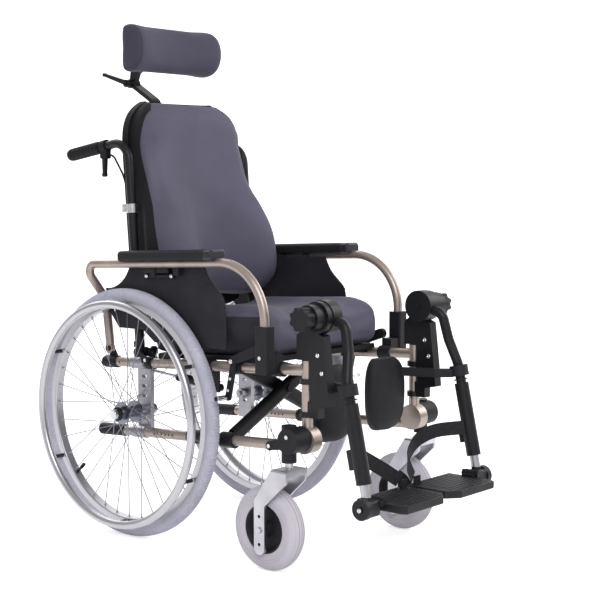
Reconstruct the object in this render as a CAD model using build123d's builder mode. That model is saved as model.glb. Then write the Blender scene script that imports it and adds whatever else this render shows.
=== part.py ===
from build123d import *
import os
from math import atan2, cos, degrees, hypot, radians, sin, sqrt, tan

# Reclining wheelchair. X runs to the sitter's left, -Y is forward, Z is up from the floor.
# Sizes are in millimetres. Paired pieces are drawn on the sitter's left and mirrored.

os.makedirs("parts", exist_ok=True)

# ---------------------------------------------------------------- fits
running = 0.05          # radial clearance of a pin or shaft in its bore
sliding = 0.1           # clearance on each side of a bar in its slot
free_gap = 0.3          # between pieces that pass each other
strut_play = 1.9        # the gas rod eye rides loose on its pin, as its path is not quite straight

# ---------------------------------------------------------------- rear wheel
wheel_r = 308.0
tyre_r = 17.0
wheel_x = 245.0
rim_width = 25.0
rim_seat = 9.0          # how far the rim reaches up into the tyre
rim_depth = 21.0
rim_outer_r = wheel_r - 2 * tyre_r + rim_seat
rim_inner_r = rim_outer_r - rim_depth
handrim_tube_r = 10.0
handrim_below_tyre = 10.0
handrim_r = wheel_r - tyre_r - handrim_below_tyre - handrim_tube_r
handrim_offset = 50.0
handrim_tabs = 6
tab_r = 5.0
spokes = 36
spoke_r = 1.0
flange_r = 27.0
flange_hole_r = 23.0
flange_thickness = 4.0
hub_inner_x = 218.5
hub_outer_x = 282.0
hub_barrel_r = 14.0
axle_r = 6.35
axle_inner_x = 158.0
button_r = 12.3
button_top = 3.5
button_travel = 3.0
axle_stand_out = 8.0    # the axle's end beyond the hub, inside the button

# ---------------------------------------------------------------- where things stand, measured from the rear axle
upright_ahead = 546.0
foot_reach = 254.0      # front upright to the front edge of the footplates
toe_reach = upright_ahead + foot_reach
head_joint_ahead = -236.0
head_lever_length = 92.0
head_lever_rise = 17.0  # degrees
lever_tip_r = 5.0
rear_reach = head_lever_length * cos(radians(head_lever_rise)) + lever_tip_r - head_joint_ahead
axle_y = (toe_reach - rear_reach) / 2   # the chair's box is centred on the origin


def ahead(distance):
    """Y of a station this far in front of the rear axle."""
    return axle_y - distance


# ---------------------------------------------------------------- side frames
frame_x = 203.0
rail_r = 12.5
tube_wall = 2.0
rake = 3.0              # degrees, the rails rise towards the front
upper_rail_z = 428.0    # at the rear axle
lower_rail_z = 254.0
upper_rail_rear = 126.0
lower_rail_rear = 124.0
upright_r = 12.8
upright_rise = 22.0
corner_r = 31.0
corner_z = 300.0
corner_width = 30.0
adjusting_hole_r = 2.6
adjusting_pitch = 13.0

# ---------------------------------------------------------------- axle plates
plate_width = 46.0
plate_thickness = 12.0
saddle_r = 15.0
receiver_r = 13.0

# ---------------------------------------------------------------- cross bars
cross_ahead = 292.0
bar_height = 38.0
bar_depth = 22.0
bar_gap = 3.0
collar_r = 19.0
collar_length = 40.0
bar_top_x = 150.0
cross_bolt_r = 5.0

# ---------------------------------------------------------------- seat
pan_half = 187.0
pan_thickness = 12.0
pan_rear = 54.0
rear_hook = 68.0
hook_length = 48.0
pan_front = upright_ahead - 110.0
cushion_half = 204.0
cushion_height = 112.0
bolster_rise = 10.0
cushion_rear = 34.0
cushion_front = pan_front + 10.0

# ---------------------------------------------------------------- casters
stem_ahead = upright_ahead - 14.0
link_ahead = upright_ahead - 94.0
stem_x = 250.0
stem_r = 6.0
caster_trail = 58.0
caster_r = 97.0
caster_width = 48.0
caster_rim_r = 56.0
caster_axle_r = 4.0
fork_gap = 5.0
fork_leg_thickness = 7.0
fork_top_z = 240.0
crown_thickness = 16.0
fork_hole_pitch = 32.0
housing_r = 17.0
housing_bottom_z = 254.0
housing_top_z = 337.0
housing_disc_r = 28.7

# ---------------------------------------------------------------- armrests
arm_x = 250.0
arm_r = 11.0
arm_low_x = 204.0
arm_hinge_ahead = -110.0
arm_bend_ahead = -124.0
arm_hinge_z = 456.0
arm_pin_r = 4.0
arm_eye_r = 13.0
arm_front_ahead = upright_ahead - 86.0
arm_foot_z = 499.0
arm_front_z = 2 * wheel_r + 80.0
arm_rear_z = 2 * wheel_r + 55.5
arm_step_z = 2 * wheel_r + 28.0
arm_low_bend_z = 2 * wheel_r - 36.0
arm_rear_ahead = -131.0
pad_rear = -2.0
pad_front = arm_front_ahead - 143.0
saddle_half = 17.0
pad_width = 52.0
pad_height = 27.0
guard_x = 222.5
guard_thickness = 3.0
socket_wall = 4.5
socket_top_z = 552.0

# ---------------------------------------------------------------- brakes
brake_pivot_z = 462.0
brake_pin_r = 4.0
brake_clamp_half = 14.0
shoe_r = 5.5
shoe_z = 376.0
shoe_off_tyre = 21.1    # the shoe's centre clear of the tyre with the brake off
shoe_ahead = sqrt((wheel_r + shoe_off_tyre) ** 2 - (shoe_z - wheel_r) ** 2)
brake_pivot_ahead = shoe_ahead + 18.0
front_hook = brake_pivot_ahead + brake_clamp_half + 6.0
front_hook_room = arm_front_ahead - saddle_half - brake_pivot_ahead - brake_clamp_half
front_hook_length = 0.54 * front_hook_room

# ---------------------------------------------------------------- back
pivot_ahead = 8.0
pivot_z = 455.0
pivot_r = 8.0
back_x = frame_x + 5.0
back_r = 11.0
lean = 4.4              # degrees, the back tubes lean to the rear
bend_z = 979.0
bend_radius = 48.0
grip_end_ahead = -246.0
grip_end_z = 945.0
grip_r = 16.0
grip_length = 114.0
band_heights = (655.0, 811.0)
band_thickness = 1.5
band_width = 22.0
back_half = back_x - back_r - 12.0
shell_thickness = 8.0
shell_wing = 3.0
wing_depth = 16.0
cushion_gap = 0.9       # the cushion lies this far inside its shell
shell_edge_x = back_half + shell_wing
cable_r = 2.5
cable_behind = back_r + band_thickness + cable_r + free_gap
cable_low_z = pivot_z + 26

# ---------------------------------------------------------------- gas struts
strut_x = 172.0
horn_length = 48.0
recline_angle = 30.0
strut_anchor_ahead = 245.0
strut_anchor_drop = 70.0    # below the recline pivot
strut_pin_r = 4.0
cylinder_r = 11.0
cylinder_length = 130.0
rod_r = 4.0

# ---------------------------------------------------------------- headrest
post_width = 28.0
post_depth = 11.0
post_low_z = 925.0
head_joint_z = 1138.0
post_bend_z = head_joint_z - 53.0
head_pivot_ahead = -163.0
head_pivot_z = head_joint_z + 66.0
head_pin_r = 5.0
head_half = 152.0
head_height = 130.0
head_low_z = head_joint_z + 12.0
head_top_z = head_low_z + head_height
head_front_ahead = -42.0
head_rear_ahead = -128.0

# ---------------------------------------------------------------- legrests
knee_ahead = upright_ahead + 34.0
knee_z = 577.0
knee_pin_r = 8.0
knee_disc_r = 36.0
hanger_x = (190.0, 215.5)
hanger_low_z = 372.0
drum_x = (168.0, 198.2)
drum_r = 38.0
spacer_r = 30.0
spacer_out_x = 245.0
knob_r = 27.0
knob_thickness = 28.0
leg_x = 214.0
leg_tube_r = 12.0
leg_slope = 12.5        # degrees off vertical, forward at the bottom
sleeve_end_ahead = upright_ahead + 169.0
sleeve_end_z = 224.0
sleeve_top_z = 395.0
sleeve_r = 17.0
foot_tube_r = 11.0
foot_tube_hidden = 120.0
disc_r = 23.0
disc_z = 174.0
disc_x = (226.0, 241.0)
foot_hinge_x = 186.0
foot_hinge_z = 186.0
foot_pin_r = 4.0
plate_top_z = 180.0
plate_depth = 18.0
footplate_back = upright_ahead + 122.0
footplate_inner_x = 6.0
footplate_outer_x = 178.0
calf_clamp_z = 405.0
calf_clamp_height = 26.0
calf_clamp_r = 22.0
calf_x = 98.0
calf_ahead = upright_ahead - 8.0
calf_width = 134.0
calf_height = 172.0
calf_depth = 42.0
calf_low_z = 282.0
strap_width = 32.0
strap_thickness = 3.0

# ---------------------------------------------------------------- derived places
axle_line = Axis((0, axle_y, wheel_r), (1, 0, 0))
wheel_section = Plane(origin=(0, axle_y, wheel_r), x_dir=(1, 0, 0), z_dir=(0, -1, 0))


def rail_plane(z_at_axle, distance, x=frame_x):
    """Plane square to a raked rail, this far in front of the axle; its Z runs forward along the rail."""
    origin = (x, ahead(distance), z_at_axle + distance * tan(radians(rake)))
    return Plane(origin=origin, x_dir=(1, 0, 0), z_dir=(0, -cos(radians(rake)), sin(radians(rake))))


def rail_z(z_at_axle, distance):
    """Height of a rail's centre this far in front of the axle."""
    return z_at_axle + distance * tan(radians(rake))


def side_plane(x):
    """Plane across the chair at this X; its local axes are Y and Z."""
    return Plane.YZ.offset(x)


def back_y(z, offset=0.0):
    """Y of the leaning back line at this height; offset is to the rear."""
    return ahead(pivot_ahead) + (z - pivot_z) * tan(radians(lean)) + offset


def leg_y(z):
    """Y of the leg line at this height."""
    return ahead(sleeve_end_ahead) + (z - sleeve_end_z) * tan(radians(leg_slope))


def pair(piece):
    """The piece and its mirror image on the other side of the chair, as one part."""
    with BuildPart() as both:
        add(piece)
        mirror(about=Plane.YZ)
    return both.part


def write(name, piece):
    """Label one sub-part and write it."""
    piece.label = name
    export_step(piece, f"parts/{name}.step")


def write_sides(name, piece):
    """Write a left-hand piece and its mirror image as two sub-parts."""
    write(f"{name}_left", piece)
    write(f"{name}_right", mirror(piece, about=Plane.YZ))


def bent_tube(points, radii, outer, wall=0.0):
    """A round tube along straight runs joined by tangent arcs."""
    with BuildPart() as tube:
        with BuildLine() as route:
            FilletPolyline(*points, radius=radii)
        with BuildSketch(Plane(route.line @ 0, z_dir=route.line % 0)):
            Circle(outer)
            if wall:
                Circle(outer - wall, mode=Mode.SUBTRACT)
        sweep()
    return tube.part


def cross_rod(x_from, x_to, y, z, radius, bore=0.0):
    """A round piece along X."""
    with BuildPart() as rod:
        with BuildSketch(side_plane(x_from)):
            with Locations((y, z)):
                Circle(radius)
                if bore:
                    Circle(bore, mode=Mode.SUBTRACT)
        extrude(amount=x_to - x_from)
    return rod.part


# ================================================================ frame
def side_frame():
    """Two raked rails and an upright of round tube, joined at a corner casting."""
    top = rail_z(upper_rail_z, upright_ahead) + upright_rise
    rails = ((upper_rail_z, upper_rail_rear), (lower_rail_z, lower_rail_rear))
    core_r = rail_r - tube_wall
    with BuildPart() as frame:
        for rail, rear in rails:
            with BuildSketch(rail_plane(rail, -rear)):
                Circle(rail_r)
            extrude(amount=(rear + upright_ahead) / cos(radians(rake)))
        with BuildSketch(Plane.XY.offset(corner_z)):
            with Locations((frame_x, ahead(upright_ahead))):
                Circle(upright_r)
        extrude(amount=top - corner_z)
        add(cross_rod(frame_x - corner_width / 2, frame_x + corner_width / 2,
                      ahead(upright_ahead), corner_z, corner_r))
        for rail, rear in rails:
            with BuildSketch(rail_plane(rail, -rear)):
                Circle(core_r)
            extrude(amount=(rear + upright_ahead - corner_r) / cos(radians(rake)), mode=Mode.SUBTRACT)
        with BuildSketch(Plane.XY.offset(top)):
            with Locations((frame_x, ahead(upright_ahead))):
                Circle(upright_r - tube_wall)
        extrude(amount=corner_z + corner_r - top, mode=Mode.SUBTRACT)
        holes = [(upper_rail_z, -90 + i * adjusting_pitch) for i in range(3)]
        holes += [(lower_rail_z, 60 + i * adjusting_pitch) for i in range(6)]
        with BuildSketch(side_plane(frame_x - rail_r)):
            for rail, distance in holes:
                with Locations((ahead(distance), rail_z(rail, distance))):
                    Circle(adjusting_hole_r)
        extrude(amount=2 * rail_r, mode=Mode.SUBTRACT)
    return frame.part


def axle_plate():
    """Drilled plate on the inner side of the rails, with a saddle round each and a bore for the axle sleeve."""
    outer_x = frame_x - rail_r - free_gap
    inner_x = outer_x - plate_thickness
    slots = (lower_rail_z + 34, upper_rail_z - 84, upper_rail_z - 60, upper_rail_z - 36)
    with BuildPart() as plate:
        with BuildSketch(side_plane(inner_x)):
            with Locations((axle_y, (lower_rail_z + upper_rail_z) / 2)):
                RectangleRounded(plate_width, upper_rail_z - lower_rail_z + 2 * rail_r, 4)
            for height in slots:
                with Locations((axle_y, height)):
                    SlotOverall(16, 8, mode=Mode.SUBTRACT)
        extrude(amount=plate_thickness)
        for rail in (lower_rail_z, upper_rail_z):
            with BuildSketch(rail_plane(rail, -plate_width / 2)):
                Circle(saddle_r)
            extrude(amount=plate_width)
        for rail in (lower_rail_z, upper_rail_z):
            with BuildSketch(rail_plane(rail, -plate_width)):
                Circle(rail_r)
            extrude(amount=2 * plate_width, mode=Mode.SUBTRACT)
        add(cross_rod(axle_inner_x, hub_inner_x, axle_y, wheel_r, receiver_r + running), mode=Mode.SUBTRACT)
    return plate.part


def axle():
    """Quick-release axle in its sleeve; its outer end stands out of the hub inside the button."""
    with BuildPart() as pin:
        add(cross_rod(axle_inner_x, hub_inner_x - free_gap, axle_y, wheel_r, receiver_r))
        add(cross_rod(axle_inner_x - 6, hub_outer_x + axle_stand_out, axle_y, wheel_r, axle_r))
    return pin.part


def cross_bar(side, distance):
    """Oval tube from a collar on one lower rail up to a lug under the other side of the seat pan."""
    low = Vector(side * frame_x, ahead(distance), rail_z(lower_rail_z, distance))
    high = Vector(-side * bar_top_x, ahead(distance), rail_z(upper_rail_z, distance) + 4)
    along = (high - low).normalized()
    start = low + along * (rail_r + 3)
    across = Plane(origin=start, x_dir=(0, 1, 0), z_dir=along)
    with BuildPart() as bar:
        with BuildSketch(across):
            SlotOverall(bar_height, bar_depth, rotation=90)
        extrude(amount=(high - start).length)
        with BuildSketch(rail_plane(lower_rail_z, distance - collar_length / 2, side * frame_x)):
            Circle(collar_r)
        extrude(amount=collar_length)
        with BuildSketch(rail_plane(lower_rail_z, distance - collar_length, side * frame_x)):
            Circle(rail_r + running)
        extrude(amount=2 * collar_length, mode=Mode.SUBTRACT)
    return bar.part


bar_pitch = bar_depth + bar_gap
bar_places = ((-1, cross_ahead + bar_pitch / 2), (1, cross_ahead - bar_pitch / 2))
bar_low_z = rail_z(lower_rail_z, cross_ahead)
bar_high_z = rail_z(upper_rail_z, cross_ahead) + 4
bar_cross_z = bar_low_z + (bar_high_z - bar_low_z) * frame_x / (frame_x + bar_top_x)
bolt_half = bar_pitch / 2 + bar_depth / 2 + 1
with BuildPart() as cross_bars:
    for bar_side, bar_ahead in bar_places:
        add(cross_bar(bar_side, bar_ahead))
    with BuildSketch(Plane.XZ.offset(-ahead(cross_ahead) - bolt_half)):
        with Locations((0, bar_cross_z)):
            Circle(cross_bolt_r + running)
    extrude(amount=2 * bolt_half, mode=Mode.SUBTRACT)
with BuildPart() as cross_bolt:
    with BuildSketch(Plane.XZ.offset(-ahead(cross_ahead) - bolt_half)):
        with Locations((0, bar_cross_z)):
            Circle(cross_bolt_r)
    extrude(amount=2 * bolt_half)
    for side in (-1, 1):
        with BuildSketch(Plane.XZ.offset(-ahead(cross_ahead) + side * bolt_half)):
            with Locations((0, bar_cross_z)):
                Circle(2 * cross_bolt_r)
        extrude(amount=side * 4)
    with BuildSketch(Plane.XZ.offset(-ahead(cross_ahead) - bar_gap / 2)):
        with Locations((0, bar_cross_z)):
            Circle(2 * cross_bolt_r)
    extrude(amount=bar_gap)


# ================================================================ seat
def seat_plane(distance):
    """Plane square to the raked seat, on the centre line at the height of the rail centres."""
    return rail_plane(upper_rail_z, distance, 0)


def seat_section(distance, half, height, drop):
    """Cushion outline across the chair: flat below, drawn-in sides, a bolster each side of a hollow."""
    base = rail_r + pan_thickness
    corner = 9.0
    bolster = 46.0
    top = base + height
    with BuildSketch(seat_plane(distance)) as section:
        with BuildLine():
            Line((-half + corner, base), (half - corner, base))
            ThreePointArc((half - corner, base), (half, base + height / 2), (half - corner, top - corner))
            ThreePointArc((half - corner, top - corner), (half - bolster / 2, top + drop),
                          (half - bolster, top - 3))
            ThreePointArc((half - bolster, top - 3), (0, top - 9 + drop / 2), (bolster - half, top - 3))
            ThreePointArc((bolster - half, top - 3), (bolster / 2 - half, top + drop),
                          (corner - half, top - corner))
            ThreePointArc((corner - half, top - corner), (-half, base + height / 2), (corner - half, base))
        make_face()
    return section


with BuildPart() as seat_base:
    with BuildSketch(seat_plane(pan_rear)):
        with Locations((0, rail_r + pan_thickness / 2)):
            Rectangle(2 * pan_half, pan_thickness)
    extrude(amount=pan_front - pan_rear)
    for bar_side, bar_ahead in bar_places:
        with BuildSketch(seat_plane(bar_ahead - bar_depth / 2)):
            with Locations((-bar_side * bar_top_x, rail_r - 4)):
                Rectangle(bar_height, 9)
        extrude(amount=bar_depth)
    for hook_ahead, length in ((rear_hook, hook_length), (front_hook, front_hook_length)):
        with BuildSketch(seat_plane(hook_ahead)):
            for side in (-1, 1):
                with Locations((side * (pan_half + frame_x) / 2, (rail_r + pan_thickness) / 2)):
                    Rectangle(frame_x - pan_half + 4, rail_r + pan_thickness)
        extrude(amount=length)
    for side in (-1, 1):
        with BuildSketch(rail_plane(upper_rail_z, pan_rear, side * frame_x)):
            Circle(rail_r)
        extrude(amount=pan_front, mode=Mode.SUBTRACT)
    for bar_side, bar_ahead in bar_places:
        add(cross_bar(bar_side, bar_ahead), mode=Mode.SUBTRACT)

seat_stations = (
    (cushion_rear, cushion_half - 9, cushion_height - 12, 3),
    (cushion_rear + 26, cushion_half, cushion_height - 2, bolster_rise),
    ((cushion_rear + cushion_front) / 2, cushion_half, cushion_height, bolster_rise),
    (cushion_front - 30, cushion_half, cushion_height - 2, bolster_rise),
    (cushion_front, cushion_half - 8, cushion_height - 16, 2),
)
with BuildPart() as seat_cushion:
    seat_sections = [seat_section(*station) for station in seat_stations]
    loft([section.sketch for section in seat_sections])


# ================================================================ casters
def caster_housing():
    """Disc on the corner casting, a stem barrel beside it and an arm back to the lower rail."""
    disc_y = ahead(upright_ahead - 3)
    disc_z_centre = corner_z + 4
    face_x = frame_x + corner_width / 2
    stem_y = ahead(stem_ahead)
    with BuildPart() as housing:
        add(cross_rod(face_x, stem_x + housing_r + 3, disc_y, disc_z_centre, housing_disc_r))
        with BuildSketch(Plane.XY.offset(housing_bottom_z)):
            with Locations((stem_x, stem_y)):
                Circle(housing_r)
        extrude(amount=housing_top_z - housing_bottom_z)
        eye = (ahead(link_ahead), rail_z(lower_rail_z, link_ahead))
        with BuildSketch(side_plane(face_x)):
            with BuildLine():
                Polyline((eye[0], eye[1] - 10), (disc_y, disc_z_centre - 24), (disc_y, disc_z_centre + 16),
                         (eye[0], eye[1] + 10), close=True)
            make_face()
            with Locations(eye):
                Circle(11)
        extrude(amount=9)
        with BuildSketch(Plane.XY.offset(housing_bottom_z)):
            with Locations((stem_x, stem_y)):
                Circle(stem_r + running)
        extrude(amount=housing_top_z - housing_bottom_z - 12, mode=Mode.SUBTRACT)
        add(cross_rod(frame_x + rail_r - 1, face_x, eye[0], eye[1], 7))
        with BuildSketch(rail_plane(lower_rail_z, link_ahead - 40)):
            Circle(rail_r)
        extrude(amount=80, mode=Mode.SUBTRACT)
    return housing.part


def caster_fork():
    """Bent fork with a crown, a stem in the housing and an axle through the wheel."""
    stem_y = ahead(stem_ahead)
    axle_y_caster = stem_y + caster_trail
    half = caster_width / 2 + fork_gap
    leg = 15.5
    low_z = caster_r - fork_hole_pitch - 8
    crown_z = fork_top_z - crown_thickness
    outer_x = stem_x + half + fork_leg_thickness
    width = 2 * (half + fork_leg_thickness)
    with BuildPart() as fork:
        with BuildSketch(side_plane(stem_x - half - fork_leg_thickness)):
            with BuildLine():
                Line((stem_y + 22, fork_top_z), (stem_y - 22, fork_top_z))
                Line((stem_y - 22, fork_top_z), (stem_y - 20, crown_z - 12))
                Line((stem_y - 20, crown_z - 12), (axle_y_caster - leg, caster_r + 56))
                Line((axle_y_caster - leg, caster_r + 56), (axle_y_caster - leg, low_z))
                ThreePointArc((axle_y_caster - leg, low_z), (axle_y_caster, low_z - leg),
                              (axle_y_caster + leg, low_z))
                Line((axle_y_caster + leg, low_z), (axle_y_caster + leg, caster_r + 66))
                Line((axle_y_caster + leg, caster_r + 66), (stem_y + 22, fork_top_z))
            make_face()
            for step in (-1, 1):
                with Locations((axle_y_caster, caster_r + step * fork_hole_pitch)):
                    Circle(4, mode=Mode.SUBTRACT)
        extrude(amount=width)
        with BuildSketch(side_plane(stem_x - half)):
            with Locations((stem_y + caster_trail / 2, crown_z / 2)):
                Rectangle(4 * caster_r, crown_z)
        extrude(amount=2 * half, mode=Mode.SUBTRACT)
        edges = fork.edges().filter_by(Axis.Y).group_by(Axis.Z)[-1]
        fillet(edges, 5)
        with BuildSketch(Plane.XY.offset(fork_top_z - 4)):
            with Locations((stem_x, stem_y)):
                Circle(9)
        extrude(amount=housing_bottom_z - fork_top_z + 4 - free_gap)
        with BuildSketch(Plane.XY.offset(fork_top_z)):
            with Locations((stem_x, stem_y)):
                Circle(stem_r)
        extrude(amount=housing_top_z - fork_top_z - 14)
        add(cross_rod(stem_x - half - 1, outer_x + 3, axle_y_caster, caster_r, caster_axle_r))
        add(cross_rod(outer_x, outer_x + 4, axle_y_caster, caster_r, 7))
    return fork.part


def caster_plane():
    """Section plane of the caster wheel: X across the chair, local Y is the radius."""
    return Plane(origin=(0, ahead(stem_ahead) + caster_trail, caster_r), x_dir=(1, 0, 0), z_dir=(0, -1, 0))


def caster_line():
    """Axis of the caster wheel."""
    return Axis((0, ahead(stem_ahead) + caster_trail, caster_r), (1, 0, 0))


def caster_tyre():
    """Grooved solid tyre with a round tread."""
    half = caster_width / 2
    groove_r = 1.2
    with BuildPart() as tyre:
        with BuildSketch(caster_plane()):
            with BuildLine():
                Line((stem_x - half + 3, caster_rim_r), (stem_x + half - 3, caster_rim_r))
                Line((stem_x + half - 3, caster_rim_r), (stem_x + half, caster_rim_r + 12))
                Line((stem_x + half, caster_rim_r + 12), (stem_x + half, caster_r - 20))
                ThreePointArc((stem_x + half, caster_r - 20), (stem_x, caster_r), (stem_x - half, caster_r - 20))
                Line((stem_x - half, caster_r - 20), (stem_x - half, caster_rim_r + 12))
                Line((stem_x - half, caster_rim_r + 12), (stem_x - half + 3, caster_rim_r))
            make_face()
            for side in (-1, 1):
                for drop in (20.0, 26.0, 32.0):
                    with Locations((stem_x + side * half, caster_r - drop)):
                        Circle(groove_r, mode=Mode.SUBTRACT)
        revolve(axis=caster_line())
    return tyre.part


def caster_rim():
    """Dished rim with a hub bored for the axle."""
    half = caster_width / 2
    with BuildPart() as rim:
        with BuildSketch(caster_plane()):
            with BuildLine():
                Polyline((stem_x - half, caster_axle_r + running), (stem_x + half, caster_axle_r + running),
                         (stem_x + half, 15), (stem_x + 9, 19), (stem_x + 9, 44),
                         (stem_x + half - 4, caster_rim_r - 4), (stem_x + half - 4, caster_rim_r),
                         (stem_x - half + 4, caster_rim_r), (stem_x - half + 4, caster_rim_r - 4),
                         (stem_x - 9, 44), (stem_x - 9, 19), (stem_x - half, 15), close=True)
            make_face()
        revolve(axis=caster_line())
    return rim.part


# ================================================================ rear wheels
def rear_tyre():
    with BuildPart() as tyre:
        with BuildSketch(wheel_section):
            with Locations((wheel_x, wheel_r - tyre_r)):
                Circle(tyre_r)
        revolve(axis=axle_line)
    return tyre.part


def rear_rim():
    """Channel rim with the hand rim standing off it on round tabs."""
    handrim_x = wheel_x + handrim_offset
    with BuildPart() as rim:
        with BuildSketch(wheel_section):
            with Locations((wheel_x, (rim_inner_r + rim_outer_r) / 2)):
                RectangleRounded(rim_width, rim_outer_r - rim_inner_r, 3)
            with Locations((wheel_x, wheel_r - tyre_r)):
                Circle(tyre_r, mode=Mode.SUBTRACT)
            with Locations((handrim_x, handrim_r)):
                Circle(handrim_tube_r)
        revolve(axis=axle_line)
        with BuildSketch(side_plane(wheel_x + rim_width / 2 - 2)):
            with Locations((axle_y, wheel_r)):
                with PolarLocations(handrim_r, handrim_tabs, start_angle=30):
                    Circle(tab_r)
        extrude(amount=handrim_offset - rim_width / 2 + 2)
    return rim.part


def rear_hub():
    """Flanged hub with crossed steel spokes to the rim."""
    flanges = (hub_inner_x + 3, hub_outer_x - 18)
    with BuildPart() as hub:
        with BuildSketch(wheel_section):
            with BuildLine():
                Polyline((hub_inner_x, axle_r + running), (hub_outer_x, axle_r + running),
                         (hub_outer_x, hub_barrel_r - 1), (flanges[1] + flange_thickness, hub_barrel_r),
                         (flanges[1] + flange_thickness, flange_r), (flanges[1], flange_r),
                         (flanges[1], hub_barrel_r), (flanges[0] + flange_thickness, hub_barrel_r),
                         (flanges[0] + flange_thickness, flange_r), (flanges[0], flange_r),
                         (flanges[0], hub_barrel_r), (hub_inner_x, hub_barrel_r), close=True)
            make_face()
        revolve(axis=axle_line)
        for i in range(spokes):
            rim_angle = radians(360 / spokes * i)
            hub_angle = rim_angle + radians(70 if i % 4 < 2 else -70)
            flange_x = flanges[i % 2] + flange_thickness / 2
            start = Vector(flange_x, axle_y + flange_hole_r * cos(hub_angle),
                           wheel_r + flange_hole_r * sin(hub_angle))
            end = Vector(wheel_x, axle_y + rim_inner_r * cos(rim_angle), wheel_r + rim_inner_r * sin(rim_angle))
            reach = end - start
            with BuildSketch(Plane(origin=start, z_dir=reach)):
                Circle(spoke_r)
            extrude(amount=reach.length - 0.3)
    return hub.part


def quick_release_button():
    """Round cap that slides on the end of the axle."""
    face_x = hub_outer_x + button_travel + 1
    bore_end = hub_outer_x + axle_stand_out + button_travel + free_gap
    with BuildPart() as button:
        add(cross_rod(face_x, bore_end + button_top, axle_y, wheel_r, button_r))
        fillet(button.edges().group_by(Axis.X)[-1], 2.5)
        add(cross_rod(face_x, bore_end, axle_y, wheel_r, axle_r + running), mode=Mode.SUBTRACT)
    return button.part


# ================================================================ armrests
arm_top_slope = (arm_front_z - arm_rear_z) / (arm_front_ahead - arm_rear_ahead)


def arm_z(distance):
    """Height of the armrest tube's centre under the pad."""
    return arm_rear_z + (distance - arm_rear_ahead) * arm_top_slope


def armrest_tube():
    """Bent tube from a hinge eye behind, up and over, and down into the front socket."""
    points = [
        (arm_low_x, ahead(arm_hinge_ahead), arm_hinge_z + arm_eye_r - 3),
        (arm_low_x, ahead(arm_bend_ahead), arm_low_bend_z),
        (arm_x, ahead(arm_rear_ahead), arm_step_z),
        (arm_x, ahead(arm_rear_ahead), arm_rear_z),
        (arm_x, ahead(arm_front_ahead), arm_front_z),
        (arm_x, ahead(arm_front_ahead), arm_foot_z),
    ]
    eye_half = 5.5
    eye_y = ahead(arm_hinge_ahead)
    plug_length = 9.0
    foot = Plane(origin=points[0], z_dir=Vector(*points[1]) - Vector(*points[0]))
    with BuildPart() as tube:
        add(bent_tube(points, [30, 20, 20, arm_front_z - socket_top_z - 12], arm_r, tube_wall))
        with BuildSketch(foot):
            Circle(arm_r - tube_wall / 2)
        extrude(amount=plug_length)
        add(cross_rod(arm_low_x - eye_half, arm_low_x + eye_half, eye_y, arm_hinge_z, arm_eye_r))
        add(cross_rod(arm_low_x - eye_half, arm_low_x + eye_half, eye_y, arm_hinge_z,
                      arm_pin_r + running), mode=Mode.SUBTRACT)
    return tube.part


def armrest_pad():
    """Rounded pad seated over the tube."""
    length = pad_front - pad_rear
    slope = degrees(atan2(arm_front_z - arm_rear_z, arm_front_ahead - arm_rear_ahead))
    rear = Plane(origin=(arm_x, ahead(pad_rear), arm_z(pad_rear)), x_dir=(1, 0, 0),
                 z_dir=(0, -cos(radians(slope)), sin(radians(slope))))
    with BuildPart() as pad:
        with BuildSketch(rear):
            with Locations((0, 4 + pad_height / 2)):
                RectangleRounded(pad_width, pad_height, 10)
        extrude(amount=length / cos(radians(slope)))
        fillet(pad.edges().group_by(Axis.Y)[0], 6)
        fillet(pad.edges().group_by(Axis.Y)[-1], 6)
        with BuildSketch(rear.offset(-10)):
            Circle(arm_r)
        extrude(amount=length + 20, mode=Mode.SUBTRACT)
    return pad.part


def skirt_guard():
    """Side panel with two clips that hold it to the armrest tube."""
    top = 3.0
    low_z = 486.0
    rear_low_z = low_z + 28
    rear_top = (ahead(-10), arm_z(-10) - top)
    front_top = (ahead(244), arm_z(244) - top)
    front_step = (ahead(310), arm_rear_z - 67.5)
    rear_step = (ahead(-92), arm_rear_z - 111.5)
    rear_edge = (ahead(-100), arm_rear_z - 60.5)
    with BuildPart() as guard:
        with BuildSketch(side_plane(guard_x)):
            with BuildLine():
                Line(rear_top, front_top)
                ThreePointArc(front_top, (ahead(268), arm_rear_z - 31.5), front_step)
                Line(front_step, (ahead(316), low_z))
                Polyline((ahead(316), low_z), (ahead(76), low_z), (ahead(36), rear_low_z),
                         (ahead(-52), rear_low_z), rear_step)
                Line(rear_step, rear_edge)
                ThreePointArc(rear_edge, (ahead(-38), arm_rear_z - 39.5), rear_top)
            make_face()
        extrude(amount=guard_thickness)
        for distance in (88, 168):
            reach_x = arm_x - arm_r
            with BuildSketch(side_plane(guard_x + guard_thickness)):
                with Locations((ahead(distance), arm_z(distance) - 14)):
                    RectangleRounded(16, 34, 4)
            extrude(amount=reach_x - guard_x - guard_thickness + 3)
        slope = degrees(atan2(arm_front_z - arm_rear_z, arm_front_ahead - arm_rear_ahead))
        rear = Plane(origin=(arm_x, ahead(pad_rear), arm_z(pad_rear)), x_dir=(1, 0, 0),
                     z_dir=(0, -cos(radians(slope)), sin(radians(slope))))
        with BuildSketch(rear):
            Circle(arm_r)
        extrude(amount=pad_front - pad_rear, mode=Mode.SUBTRACT)
    return guard.part


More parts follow.
